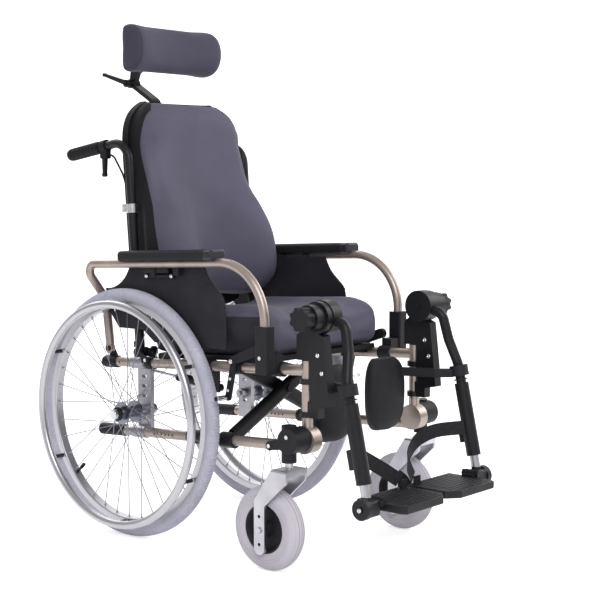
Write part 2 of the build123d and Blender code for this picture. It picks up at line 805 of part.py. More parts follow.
def armrest_brackets():
    """Front: a saddle on the upper rail with a socket open to the rear. Rear: a plate with the hinge pin."""
    socket_y = ahead(arm_front_ahead)
    bore = arm_r + free_gap
    outer = bore + socket_wall
    saddle_length = 2 * saddle_half
    saddle_z = rail_z(upper_rail_z, arm_front_ahead)
    eye_y = ahead(arm_hinge_ahead)
    plate_in = arm_low_x - 5.5 - free_gap - 5
    with BuildPart() as bracket:
        with BuildSketch(rail_plane(upper_rail_z, arm_front_ahead - saddle_length / 2)):
            Circle(rail_r + 5)
        extrude(amount=saddle_length)
        with BuildSketch(Plane.XY.offset(saddle_z - 8)):
            with Locations(((frame_x + arm_x) / 2, socket_y)):
                Rectangle(arm_x - frame_x, saddle_length - 6)
        extrude(amount=arm_foot_z - saddle_z + 8 - 12)
        with BuildSketch(Plane.XY.offset(saddle_z - 8)):
            with Locations((arm_x, socket_y)):
                RectangleRounded(2 * outer, 2 * outer + 4, 5)
        extrude(amount=socket_top_z - saddle_z + 8)
        with BuildSketch(Plane.XY.offset(arm_foot_z - 1)):
            with Locations((arm_x, socket_y)):
                Circle(bore)
            with Locations((arm_x, socket_y + outer)):
                Rectangle(2 * bore, 2 * outer)
        extrude(amount=socket_top_z, mode=Mode.SUBTRACT)
        with BuildSketch(side_plane(plate_in)):
            with BuildLine():
                Polyline((eye_y - 24, upper_rail_z), (eye_y + 14, upper_rail_z - 4), (eye_y + 6, arm_hinge_z),
                         (eye_y - 6, arm_hinge_z), close=True)
            make_face()
            with Locations((eye_y, arm_hinge_z)):
                Circle(arm_pin_r + 2)
        extrude(amount=5)
        with BuildSketch(rail_plane(upper_rail_z, arm_hinge_ahead - 14)):
            Circle(rail_r + 3)
        extrude(amount=44)
        add(cross_rod(plate_in, arm_low_x + 5.5 + free_gap, eye_y, arm_hinge_z, arm_pin_r))
        add(cross_rod(arm_low_x + 5.5 + free_gap, arm_low_x + 9, eye_y, arm_hinge_z, arm_pin_r + 3))
        for distance, length in ((arm_front_ahead, saddle_length), (arm_hinge_ahead, 44)):
            with BuildSketch(rail_plane(upper_rail_z, distance - length)):
                Circle(rail_r)
            extrude(amount=2 * length, mode=Mode.SUBTRACT)
    return bracket.part


# ================================================================ brakes
def brake_bracket():
    """Clamp round the upper rail with an ear that carries the brake's pin."""
    pin_y = ahead(brake_pivot_ahead)
    with BuildPart() as bracket:
        with BuildSketch(rail_plane(upper_rail_z, brake_pivot_ahead - brake_clamp_half)):
            Circle(rail_r + 4)
        extrude(amount=2 * brake_clamp_half)
        with BuildSketch(side_plane(frame_x + 6)):
            with Locations((pin_y, brake_pivot_z - 8)):
                RectangleRounded(24, 30, 5)
        extrude(amount=rail_r - 1)
        with BuildSketch(rail_plane(upper_rail_z, brake_pivot_ahead - 40)):
            Circle(rail_r)
        extrude(amount=80, mode=Mode.SUBTRACT)
        add(cross_rod(frame_x + 6, frame_x + rail_r + 15, pin_y, brake_pivot_z, brake_pin_r))
    return bracket.part


def brake_lever():
    """Grip, link arm and cross peg in one, turning on the bracket's pin."""
    pin_y = ahead(brake_pivot_ahead)
    inner_x = frame_x + rail_r + 5.5
    handle_low = (ahead(arm_front_ahead - 36), brake_pivot_z + 21)
    handle_tip = (ahead(arm_front_ahead - 23), brake_pivot_z + 35)
    handle_high = (ahead(arm_front_ahead - 40), brake_pivot_z + 45)
    with BuildPart() as lever:
        with BuildSketch(side_plane(inner_x)):
            with Locations((pin_y, brake_pivot_z)):
                Circle(11)
            with BuildLine():
                Polyline((pin_y + 8, brake_pivot_z - 4), (ahead(shoe_ahead) + 8, shoe_z),
                         (ahead(shoe_ahead) - 8, shoe_z - 3), (pin_y - 9, brake_pivot_z - 2), close=True)
            make_face()
            with Locations((ahead(shoe_ahead), shoe_z)):
                Circle(8.5)
        extrude(amount=6)
        with BuildSketch(side_plane(inner_x)):
            with BuildLine():
                Line((pin_y, brake_pivot_z - 9), handle_low)
                ThreePointArc(handle_low, handle_tip, handle_high)
                Line(handle_high, (pin_y, brake_pivot_z + 11))
                Line((pin_y, brake_pivot_z + 11), (pin_y, brake_pivot_z - 9))
            make_face()
        extrude(amount=13)
        add(cross_rod(inner_x, wheel_x + tyre_r + 4, ahead(shoe_ahead), shoe_z, shoe_r))
        add(cross_rod(inner_x, inner_x + 13, pin_y, brake_pivot_z, brake_pin_r + running), mode=Mode.SUBTRACT)
    return lever.part


# ================================================================ back
back_direction = Vector(0, sin(radians(lean)), cos(radians(lean)))
horn_low = Vector(0, ahead(pivot_ahead) + horn_length * sin(radians(recline_angle / 2)),
                  pivot_z - horn_length * cos(radians(recline_angle / 2)))
strut_anchor = Vector(0, ahead(strut_anchor_ahead), pivot_z - strut_anchor_drop)


def back_frame():
    """Back tube bent over into the push handle, with the recline shaft and the gas strut's horn."""
    pivot_y = ahead(pivot_ahead)
    points = [
        (back_x, back_y(pivot_z + 4), pivot_z + 4),
        (back_x, back_y(bend_z), bend_z),
        (back_x, ahead(grip_end_ahead), grip_end_z),
    ]
    horn_x = (strut_x - 12.0, strut_x - 5.0)
    with BuildPart() as back:
        add(bent_tube(points, bend_radius, back_r))
        add(cross_rod(horn_x[0], back_x + back_r + 3.5, pivot_y, pivot_z, pivot_r))
        add(cross_rod(back_x - back_r, back_x + back_r, pivot_y, pivot_z, back_r))
        with BuildSketch(Plane.XY.offset(cable_low_z - 14)):
            with Locations((back_x, back_y(cable_low_z, cable_behind - 3))):
                RectangleRounded(10, 15, 2)
        extrude(amount=14)
        with BuildSketch(side_plane(horn_x[0])):
            with Locations((pivot_y, pivot_z)):
                Circle(pivot_r + 4)
            with Locations((horn_low.Y, horn_low.Z)):
                Circle(9)
            with BuildLine():
                Polyline((pivot_y - 10, pivot_z), (horn_low.Y - 8, horn_low.Z), (horn_low.Y + 8, horn_low.Z),
                         (pivot_y + 10, pivot_z), close=True)
            make_face()
        extrude(amount=horn_x[1] - horn_x[0])
        add(cross_rod(horn_x[1], strut_x + 6, horn_low.Y, horn_low.Z, strut_pin_r))
    return back.part


def back_hinge():
    """Clamp on the upper rail with an inner and an outer ear round the recline shaft."""
    pivot_y = ahead(pivot_ahead)
    ears = ((frame_x - rail_r - 2.5, 6.0), (back_x + back_r + free_gap, 3.2))
    with BuildPart() as hinge:
        with BuildSketch(rail_plane(upper_rail_z, pivot_ahead + 24)):
            Circle(rail_r + 3)
        extrude(amount=18)
        for start, thickness in ears:
            with BuildSketch(side_plane(start)):
                with BuildLine():
                    Polyline((pivot_y - 40, upper_rail_z + 4), (pivot_y - 16, upper_rail_z + 4),
                             (pivot_y - 16, pivot_z - 11), (pivot_y, pivot_z - 11), (pivot_y, pivot_z + 11),
                             (pivot_y - 40, upper_rail_z + 16), close=True)
                make_face()
                with Locations((pivot_y, pivot_z)):
                    Circle(12)
            extrude(amount=thickness)
            add(cross_rod(start, start + thickness, pivot_y, pivot_z, pivot_r + running), mode=Mode.SUBTRACT)
        bridge_y = pivot_y - 30
        add(cross_rod(frame_x, back_x + back_r + free_gap + 1, bridge_y, rail_z(upper_rail_z, -bridge_y + axle_y), 7))
        with BuildSketch(rail_plane(upper_rail_z, -60)):
            Circle(rail_r)
        extrude(amount=120, mode=Mode.SUBTRACT)
    return hinge.part


def strut_bracket():
    """Hanger below the upper rail with the gas cylinder's fixed pin."""
    with BuildPart() as bracket:
        with BuildSketch(rail_plane(upper_rail_z, strut_anchor_ahead - 12)):
            Circle(rail_r + 3)
        extrude(amount=24)
        with BuildSketch(side_plane(strut_x + cylinder_r + free_gap)):
            with BuildLine():
                Polyline((strut_anchor.Y - 12, strut_anchor.Z - 9), (strut_anchor.Y + 10, strut_anchor.Z - 9),
                         (strut_anchor.Y + 12, rail_z(upper_rail_z, strut_anchor_ahead)),
                         (strut_anchor.Y - 12, rail_z(upper_rail_z, strut_anchor_ahead)), close=True)
            make_face()
        extrude(amount=6)
        with BuildSketch(rail_plane(upper_rail_z, strut_anchor_ahead - 40)):
            Circle(rail_r)
        extrude(amount=80, mode=Mode.SUBTRACT)
        add(cross_rod(strut_x - 8, strut_x + cylinder_r + free_gap, strut_anchor.Y, strut_anchor.Z, strut_pin_r))
    return bracket.part


strut_line = (horn_low - strut_anchor).normalized()


def strut_section(distance):
    """Plane square to the gas strut, this far from its anchor."""
    origin = strut_anchor + strut_line * distance
    return Plane(origin=(strut_x, origin.Y, origin.Z), x_dir=(1, 0, 0), z_dir=strut_line)


rod_start = 100.0
strut_length = (horn_low - strut_anchor).length


def gas_cylinder():
    """Cylinder with an eye at its closed end."""
    with BuildPart() as cylinder:
        with BuildSketch(strut_section(12)):
            Circle(cylinder_r)
        extrude(amount=cylinder_length)
        add(cross_rod(strut_x - 5, strut_x + 5, strut_anchor.Y, strut_anchor.Z, 9))
        with BuildSketch(strut_section(4)):
            Circle(6)
        extrude(amount=10)
        with BuildSketch(strut_section(40)):
            Circle(rod_r + running)
        extrude(amount=cylinder_length, mode=Mode.SUBTRACT)
        add(cross_rod(strut_x - 5, strut_x + 5, strut_anchor.Y, strut_anchor.Z, strut_pin_r + running),
            mode=Mode.SUBTRACT)
    return cylinder.part


def gas_rod():
    """Rod with a wide eye that rides on the horn's pin."""
    eye_r = strut_pin_r + strut_play
    with BuildPart() as rod:
        with BuildSketch(strut_section(rod_start)):
            Circle(rod_r)
        extrude(amount=strut_length - rod_start - eye_r - 1)
        add(cross_rod(strut_x - 4.8, strut_x + 4.8, horn_low.Y, horn_low.Z, eye_r + 3.2))
        add(cross_rod(strut_x - 4.8, strut_x + 4.8, horn_low.Y, horn_low.Z, eye_r), mode=Mode.SUBTRACT)
    return rod.part


grip_slope = atan2(bend_z - grip_end_z, -grip_end_ahead + pivot_ahead - (bend_z - pivot_z) * tan(radians(lean)))
grip_line = Vector(0, cos(grip_slope), -sin(grip_slope))
grip_end = Vector(back_x, ahead(grip_end_ahead), grip_end_z)


def grip_plane(distance):
    """Plane square to the push handle, this far in front of its rear end."""
    return Plane(origin=grip_end - grip_line * distance, x_dir=(1, 0, 0), z_dir=grip_line)


def push_grip():
    """Ribbed grip over the handle, and in front of it the clamp with the release lever's pin."""
    with BuildPart() as grip:
        with BuildSketch(grip_plane(grip_length)):
            Circle(grip_r - 1)
        extrude(amount=grip_length + 4)
        fillet(grip.edges().group_by(Axis.Y)[-1], 5)
        for i in range(9):
            with BuildSketch(grip_plane(grip_length - 6 - i * 12)):
                Circle(grip_r)
            extrude(amount=6)
        with BuildSketch(grip_plane(grip_length)):
            Circle(back_r)
        extrude(amount=grip_length, mode=Mode.SUBTRACT)
    return grip.part


lever_pin = grip_end - grip_line * (grip_length + 16) - Vector(0, 0, 25)
lever_pin_r = 2.5


def lever_clamp():
    """Ring on the handle with two cheeks for the release lever."""
    with BuildPart() as clamp:
        with BuildSketch(grip_plane(grip_length + 26)):
            Circle(back_r + 4.5)
        extrude(amount=20)
        for side in (-1, 1):
            with BuildSketch(side_plane(back_x + side * 7 - 1.5)):
                with Locations((lever_pin.Y - 2, lever_pin.Z + 8)):
                    RectangleRounded(22, 28, 4)
            extrude(amount=3)
        with BuildSketch(side_plane(back_x - 7)):
            with Locations((lever_pin.Y - 10.5, lever_pin.Z + 7)):
                Rectangle(5, 14)
        extrude(amount=14)
        with BuildSketch(grip_plane(grip_length + 60)):
            Circle(back_r)
        extrude(amount=60, mode=Mode.SUBTRACT)
        add(cross_rod(back_x - 7, back_x + 7, lever_pin.Y, lever_pin.Z, lever_pin_r))
    return clamp.part


def release_lever():
    """Small hand lever hanging from the clamp."""
    half = 5.0
    tip_z = lever_pin.Z - 46
    with BuildPart() as lever:
        with BuildSketch(side_plane(back_x - half)):
            with Locations((lever_pin.Y, lever_pin.Z)):
                Circle(7)
            with BuildLine():
                Polyline((lever_pin.Y - 6, lever_pin.Z), (lever_pin.Y - 3, tip_z), (lever_pin.Y + 4, tip_z),
                         (lever_pin.Y + 6, lever_pin.Z), close=True)
            make_face()
            with Locations((lever_pin.Y + 1, tip_z)):
                Circle(5.5)
        extrude(amount=2 * half)
        add(cross_rod(back_x - half, back_x + half, lever_pin.Y, lever_pin.Z, lever_pin_r + running),
            mode=Mode.SUBTRACT)
    return lever.part


def tube_band(height):
    """Flat band round the back tube with a tab to the shell."""
    plane = Plane(origin=(back_x, back_y(height), height), x_dir=(1, 0, 0), z_dir=back_direction)
    with BuildPart() as band:
        with BuildSketch(plane.offset(-band_width / 2)):
            Circle(back_r + band_thickness)
            with Locations((shell_edge_x - back_x + 6, 0)):
                Rectangle(12, 6)
            with Locations((shell_edge_x - back_x + 1.2, 16)):
                Rectangle(2.4, 38)
            Circle(back_r, mode=Mode.SUBTRACT)
        extrude(amount=band_width)
    return band.part


def release_cable():
    """Cable from the lever's clamp, round the bend and down behind the tube to its stop."""
    start = Vector(back_x, lever_pin.Y - 13 - 2 * free_gap, lever_pin.Z + 5)
    points = [
        start,
        start + Vector(0, -20, -5),
        (back_x, back_y(880, cable_behind), 880),
        (back_x, back_y(cable_low_z, cable_behind), cable_low_z + free_gap),
    ]
    return bent_tube(points, [24, 110], cable_r)


# Back outlines by height: half width, rear at the side, rear at the centre, front corner, bolster peak, centre
back_stations = (
    (588.0, back_half - 12, 34.0, 62.0, -60.0, -84.0, -44.0),
    (630.0, back_half, 38.0, 80.0, -86.0, -112.0, -54.0),
    (700.0, back_half, 38.0, 84.0, -82.0, -124.0, -58.0),
    (760.0, back_half, 38.0, 85.0, -72.0, -113.0, -54.0),
    (820.0, back_half, 38.0, 85.0, -60.0, -86.0, -46.0),
    (880.0, back_half, 38.0, 85.0, -44.0, -52.0, -36.0),
    (960.0, back_half, 38.0, 85.0, -31.0, -36.0, -30.0),
    (1020.0, back_half - 9, 38.0, 82.0, -26.0, -32.0, -27.0),
    (1058.0, back_half - 35, 38.0, 74.0, -12.0, -20.0, -18.0),
    (1080.0, back_half - 73, 40.0, 60.0, 8.0, 2.0, 2.0),
)


def back_section(z, half, side_rear, centre_rear, corner, peak, centre):
    """Back cushion outline at one height: rounded rear, bolsters in front with a hollow between."""
    y0 = back_y(z)
    inboard = 40.0
    with BuildSketch(Plane.XY.offset(z)) as section:
        with BuildLine():
            ThreePointArc((-half, y0 + side_rear), (0, y0 + centre_rear), (half, y0 + side_rear))
            Line((half, y0 + side_rear), (half, y0 + corner))
            ThreePointArc((half, y0 + corner), (half - 9, y0 + (corner + 3 * peak) / 4), (half - inboard, y0 + peak))
            ThreePointArc((half - inboard, y0 + peak), (0, y0 + centre + 0.5), (inboard - half, y0 + peak))
            ThreePointArc((inboard - half, y0 + peak), (9 - half, y0 + (corner + 3 * peak) / 4),
                          (-half, y0 + corner))
            Line((-half, y0 + corner), (-half, y0 + side_rear))
        make_face()
    return section


def shell_section(z, half, side_rear, centre_rear):
    """Crescent of the back shell at one height, its inner arc on the cushion's rear."""
    y0 = back_y(z)
    inner = half + cushion_gap
    edge = inner + shell_wing
    seat = y0 + side_rear + cushion_gap
    rim = seat + 4
    front = seat - wing_depth
    centre = y0 + centre_rear + cushion_gap
    with BuildSketch(Plane.XY.offset(z)) as section:
        with BuildLine():
            ThreePointArc((-inner, seat), (0, centre), (inner, seat))
            Line((inner, seat), (inner, front))
            Line((inner, front), (edge, front))
            Line((edge, front), (edge, rim))
            ThreePointArc((edge, rim), (0, centre + shell_thickness), (-edge, rim))
            Line((-edge, rim), (-edge, front))
            Line((-edge, front), (-inner, front))
            Line((-inner, front), (-inner, seat))
        make_face()
    return section


post_gap = 13.0
shell_centre_rear = 85.0


def post_y(z):
    """Y of the headrest post's centre where it runs along the shell."""
    return back_y(z, shell_centre_rear + shell_thickness + post_gap)


with BuildPart() as back_cushion:
    back_sections = [back_section(*station) for station in back_stations]
    loft([section.sketch for section in back_sections])

clamp_low_z = 1005.0
clamp_high_z = 1048.0
with BuildPart() as back_shell:
    shell_sections = [shell_section(*station[:4]) for station in back_stations]
    loft([section.sketch for section in shell_sections])
    with BuildSketch(Plane.XY.offset(clamp_low_z)):
        with Locations((0, post_y(clamp_low_z) - 3)):
            RectangleRounded(post_width + 18, post_depth + 26, 4)
    extrude(amount=clamp_high_z - clamp_low_z)
    slot = Plane(origin=(0, post_y(post_low_z), post_low_z), x_dir=(1, 0, 0), z_dir=back_direction)
    with BuildSketch(slot):
        Rectangle(post_width + 2 * sliding, post_depth + 2 * sliding)
    extrude(amount=post_bend_z - post_low_z, mode=Mode.SUBTRACT)


# ================================================================ headrest
joint_y = ahead(head_joint_ahead)
with BuildPart() as headrest_post:
    with BuildLine() as post_route:
        FilletPolyline((0, post_y(post_low_z), post_low_z), (0, post_y(post_bend_z), post_bend_z),
                       (0, joint_y, head_joint_z), radius=34)
    with BuildSketch(Plane(origin=post_route.line @ 0, x_dir=(1, 0, 0), z_dir=post_route.line % 0)):
        Rectangle(post_width, post_depth)
    sweep()
    with BuildSketch(side_plane(-post_width / 2)):
        with Locations((joint_y, head_joint_z)):
            Circle(12)
    extrude(amount=post_width)
    with BuildSketch(side_plane(-post_width / 2 + 7)):
        with Locations((joint_y, head_joint_z)):
            Circle(22)
    extrude(amount=post_width - 14, mode=Mode.SUBTRACT)
    add(cross_rod(-post_width / 2 - 18, post_width / 2, joint_y, head_joint_z, head_pin_r))

head_pivot_y = ahead(head_pivot_ahead)
head_arm_half = 6.7
with BuildPart() as headrest_arm:
    with BuildSketch(side_plane(-head_arm_half)):
        with BuildLine():
            Polyline((joint_y + 10, head_joint_z), (joint_y + 2, head_pivot_z - 22), (head_pivot_y + 4, head_pivot_z + 9),
                     (head_pivot_y - 4, head_pivot_z - 9), (joint_y - 22, head_pivot_z - 40),
                     (joint_y - 11, head_joint_z), close=True)
        make_face()
        with Locations((joint_y, head_joint_z), (head_pivot_y, head_pivot_z)):
            Circle(11)
    extrude(amount=2 * head_arm_half)
    for y, z in ((joint_y, head_joint_z), (head_pivot_y, head_pivot_z)):
        add(cross_rod(-head_arm_half, head_arm_half, y, z, head_pin_r + running), mode=Mode.SUBTRACT)

head_plate_rear = ahead(head_rear_ahead)
with BuildPart() as headrest_plate:
    with BuildSketch(Plane.XZ.offset(-head_plate_rear - 6)):
        with Locations((0, (head_low_z + head_top_z) / 2)):
            RectangleRounded(2 * head_half - 64, 74, 20)
    extrude(amount=6)
    for side in (-1, 1):
        with BuildSketch(side_plane(side * (head_arm_half + 3.3) - 3)):
            with BuildLine():
                Polyline((head_plate_rear + 5, head_pivot_z - 16), (head_pivot_y, head_pivot_z - 10),
                         (head_pivot_y, head_pivot_z + 10), (head_plate_rear + 5, head_pivot_z + 16), close=True)
            make_face()
            with Locations((head_pivot_y, head_pivot_z)):
                Circle(10)
        extrude(amount=6)
    add(cross_rod(-head_arm_half - 6, head_arm_half + 6, head_pivot_y, head_pivot_z, head_pin_r))
    for side in (-1, 1):
        with BuildSketch(Plane.XZ.offset(-head_plate_rear - 6)):
            with Locations((side * (head_half - 48), (head_low_z + head_top_z) / 2 + 14)):
                Circle(6)
        extrude(amount=-14)

# Headrest outlines by height: half width, front, rear, each offset from the full size
head_stations = ((0.0, 20.0, 12.0), (26.0, 3.0, 1.0), (64.0, 0.0, 0.0), (104.0, 4.0, 2.0), (130.0, 22.0, 14.0))


def head_section(rise, narrow, thin):
    """Headrest outline at one height: flat rear, round ends and a hollow front."""
    z = head_low_z + rise
    half = head_half - narrow
    front = ahead(head_front_ahead) + thin
    rear = ahead(head_rear_ahead)
    end = 34.0
    with BuildSketch(Plane.XY.offset(z)) as section:
        with BuildLine():
            Line((end - half, rear), (half - end, rear))
            ThreePointArc((half - end, rear), (half, (front + rear) / 2 + 6), (half - end / 2, front + 4))
            ThreePointArc((half - end / 2, front + 4), (0, front + 13), (end / 2 - half, front + 4))
            ThreePointArc((end / 2 - half, front + 4), (-half, (front + rear) / 2 + 6), (end - half, rear))
        make_face()
    return section


with BuildPart() as headrest_pad:
    head_sections = [head_section(*station) for station in head_stations]
    loft([section.sketch for section in head_sections])

lever_hub_x = -post_width / 2 - 15
with BuildPart() as headrest_lever:
    add(cross_rod(lever_hub_x, -post_width / 2 - 1, joint_y, head_joint_z, 10))
    lever_tip = (joint_y + head_lever_length * cos(radians(head_lever_rise)),
                 head_joint_z + head_lever_length * sin(radians(head_lever_rise)))
    with BuildSketch(side_plane(lever_hub_x + 1)):
        with BuildLine():
            Polyline((joint_y, head_joint_z - 6), (lever_tip[0], lever_tip[1] - 4), (lever_tip[0], lever_tip[1] + 4),
                     (joint_y, head_joint_z + 7), close=True)
        make_face()
        with Locations(lever_tip):
            Circle(lever_tip_r)
    extrude(amount=9)
    add(cross_rod(lever_hub_x, -post_width / 2 - 1, joint_y, head_joint_z, head_pin_r + running),
        mode=Mode.SUBTRACT)


# ================================================================ legrests
def leg_hanger():
    """Block on two rings round the front upright, with the knee disc, spacer and knee pin above it."""
    axis_y = ahead(upright_ahead)
    knee_y = ahead(knee_ahead)
    top_z = rail_z(upper_rail_z, upright_ahead) + upright_rise + free_gap + 1
    ring_r = upright_r + free_gap + 4.5
    ring_height = 12.0
    low_ring_z = corner_z + corner_r + 21
    high_ring_z = rail_z(upper_rail_z, upright_ahead) - rail_r - ring_height - 6
    with BuildPart() as hanger:
        with BuildSketch(side_plane(hanger_x[0])):
            with BuildLine():
                Polyline((axis_y + 22, top_z), (axis_y + 22, knee_z - 41), (knee_y + 28, knee_z - 21),
                         (knee_y - 20, knee_z - 41), (axis_y - 61, knee_z - 97), (axis_y - 72, hanger_low_z + 10),
                         (axis_y - 22, hanger_low_z), (axis_y - 15, hanger_low_z + 68),
                         (axis_y - 15, top_z), close=True)
            make_face()
        extrude(amount=hanger_x[1] - hanger_x[0])
        for ring_z, link_height in ((low_ring_z, 3 * ring_height), (high_ring_z, ring_height)):
            with BuildSketch(Plane.XY.offset(ring_z)):
                with Locations((frame_x, axis_y)):
                    Circle(ring_r)
            extrude(amount=ring_height)
            with BuildSketch(Plane.XY.offset(ring_z)):
                with Locations((frame_x, axis_y - ring_r - 7)):
                    Rectangle(2 * ring_r - 12, 30)
            extrude(amount=link_height)
            with BuildSketch(Plane.XY.offset(ring_z)):
                with Locations((frame_x, axis_y)):
                    Circle(upright_r + free_gap)
            extrude(amount=link_height, mode=Mode.SUBTRACT)
        with BuildSketch(side_plane(drum_x[0])):
            with Locations((knee_y, knee_z)):
                Circle(drum_r + 1)
        extrude(amount=drum_x[1] + free_gap - drum_x[0], mode=Mode.SUBTRACT)
        add(cross_rod(drum_x[1] + free_gap, hanger_x[1], knee_y, knee_z, knee_disc_r))
        add(cross_rod(hanger_x[1], spacer_out_x, knee_y, knee_z, spacer_r))
        add(cross_rod(drum_x[0] - 3, drum_x[1] + free_gap, knee_y, knee_z, knee_pin_r))
        add(cross_rod(spacer_out_x, spacer_out_x + 18, knee_y, knee_z, knee_pin_r))
    return hanger.part


def leg_knob():
    """Lobed knob on the end of the knee pin."""
    knee_y = ahead(knee_ahead)
    face = spacer_out_x + free_gap
    with BuildPart() as knob:
        with BuildSketch(side_plane(face)):
            with Locations((knee_y, knee_z)):
                Circle(knob_r)
                with PolarLocations(knob_r + 5, 8):
                    Circle(9, mode=Mode.SUBTRACT)
        extrude(amount=knob_thickness)
        add(cross_rod(face, face + 18, knee_y, knee_z, knee_pin_r + running), mode=Mode.SUBTRACT)
    return knob.part


leg_down = Vector(0, -sin(radians(leg_slope)), -cos(radians(leg_slope)))


def leg_plane(z, x=None):
    """Plane square to the leg line at this height; its Z runs down the leg."""
    return Plane(origin=(leg_x if x is None else x, leg_y(z), z), x_dir=(1, 0, 0), z_dir=leg_down)


def leg_tube():
    """Knee drum, curved tube and the sleeve that holds the foot tube."""
    knee_y = ahead(knee_ahead)
    drum_mid = (drum_x[0] + drum_x[1]) / 2 + 2
    points = [
        (drum_mid, knee_y - 20, knee_z - 4),
        (drum_mid, knee_y - 60, knee_z - 15),
        (drum_mid + 7, leg_y(knee_z - 75), knee_z - 75),
        (leg_x, leg_y(sleeve_top_z + 45), sleeve_top_z + 45),
        (leg_x, leg_y(sleeve_top_z - 20), sleeve_top_z - 20),
    ]
    sleeve_length = (sleeve_top_z - sleeve_end_z) / cos(radians(leg_slope))
    with BuildPart() as leg:
        add(bent_tube(points, [26, 40, 40], leg_tube_r))
        add(cross_rod(drum_x[0], drum_x[1], knee_y, knee_z, drum_r))
        with BuildSketch(leg_plane(sleeve_top_z)):
            Circle(sleeve_r)
        extrude(amount=sleeve_length)
        with BuildSketch(leg_plane(300)):
            with Locations((0, -sleeve_r)):
                RectangleRounded(20, 22, 4)
        extrude(amount=44)
        add(cross_rod(drum_x[0], drum_x[1], knee_y, knee_z, knee_pin_r + running), mode=Mode.SUBTRACT)
        with BuildSketch(leg_plane(sleeve_end_z)):
            Circle(foot_tube_r + sliding)
        extrude(amount=-foot_tube_hidden - 20, mode=Mode.SUBTRACT)
        with BuildSketch(leg_plane(calf_clamp_z)):
            Circle(sleeve_r)
        extrude(amount=3)
    return leg.part


def calf_arm():
    """Clamp round the leg tube with an arm that carries the calf pad."""
    with BuildPart() as arm:
        with BuildSketch(leg_plane(calf_clamp_z + calf_clamp_height + 6)):
            Circle(calf_clamp_r)
        extrude(amount=calf_clamp_height)
        with BuildSketch(leg_plane(calf_clamp_z + calf_clamp_height + 40)):
            Circle(leg_tube_r + free_gap)
        extrude(amount=120, mode=Mode.SUBTRACT)
    return arm.part


def calf_section(rise, narrow, thin):
    """Calf pad outline at one height: rounded front with a flat back."""
    z = calf_low_z + rise
    half = calf_width / 2 - narrow
    y0 = ahead(calf_ahead)
    front = y0 - calf_depth / 2 + thin
    rear = y0 + calf_depth / 2
    with BuildSketch(Plane.XY.offset(z)) as section:
        with BuildLine():
            Line((calf_x - half + 12, rear), (calf_x + half - 12, rear))
            ThreePointArc((calf_x + half - 12, rear), (calf_x + half, (front + rear) / 2 + 4),
                          (calf_x + half - 14, front + 6))
            ThreePointArc((calf_x + half - 14, front + 6), (calf_x, front), (calf_x - half + 14, front + 6))
            ThreePointArc((calf_x - half + 14, front + 6), (calf_x - half, (front + rear) / 2 + 4),
                          (calf_x - half + 12, rear))
        make_face()
    return section


calf_stations = ((0.0, 34.0, 16.0), (16.0, 14.0, 5.0), (60.0, 1.0, 0.0), (110.0, 0.0, 0.0),
                 (154.0, 10.0, 4.0), (172.0, 30.0, 15.0))


def calf_pad():
    """Pad, and behind it the arm round to the clamp on the leg."""
    arm_z_centre = calf_clamp_z + calf_clamp_height / 2 + 1
    arm_low = arm_z_centre - 10
    with BuildPart() as pad:
        sections = [calf_section(*station) for station in calf_stations]
        loft([section.sketch for section in sections])
        with BuildSketch(Plane.XY.offset(arm_low)):
            with BuildLine():
                Polyline((leg_x - 20, leg_y(arm_z_centre) + 6), (leg_x - 10, leg_y(arm_z_centre) + 16),
                         (leg_x - 34, ahead(calf_ahead + 88)), (calf_x + 40, ahead(calf_ahead - 14)),
                         (calf_x + 28, ahead(calf_ahead - 12)), (leg_x - 48, ahead(calf_ahead + 96)), close=True)
            make_face()
        extrude(amount=20)
        with BuildSketch(leg_plane(calf_clamp_z + calf_clamp_height + 20)):
            Circle(calf_clamp_r + running)
        extrude(amount=2 * calf_clamp_height, mode=Mode.SUBTRACT)
        add(calf_arm())
    return pad.part


def foot_tube():
    """Silver tube, its hinge disc and the block with the footplate's pin."""
    disc_y = leg_y(disc_z)
    block_x = (foot_hinge_x + 10, disc_x[0])
    with BuildPart() as foot:
        with BuildSketch(leg_plane(disc_z + 8)):
            Circle(foot_tube_r)
        extrude(amount=-(sleeve_end_z - disc_z - 8 + foot_tube_hidden) / cos(radians(leg_slope)))
        add(cross_rod(disc_x[0], disc_x[1], disc_y, disc_z, disc_r))
        with BuildSketch(side_plane(block_x[0])):
            with Locations((disc_y, disc_z)):
                RectangleRounded(38, 36, 8)
        extrude(amount=block_x[1] - block_x[0])
        with BuildSketch(Plane.XZ.offset(-disc_y - 17)):
            with Locations((foot_hinge_x, foot_hinge_z)):
                Circle(foot_pin_r)
        extrude(amount=34)
        for side in (-1, 1):
            with BuildSketch(Plane.XZ.offset(-disc_y + side * 19 - 3.5)):
                with Locations((foot_hinge_x, foot_hinge_z)):
                    Circle(8)
                with Locations((foot_hinge_x + 8, foot_hinge_z - 2)):
                    Rectangle(14, 12)
            extrude(amount=7)
        add(cross_rod(disc_x[1], disc_x[1] + 3, disc_y, disc_z, 7))
    return foot.part


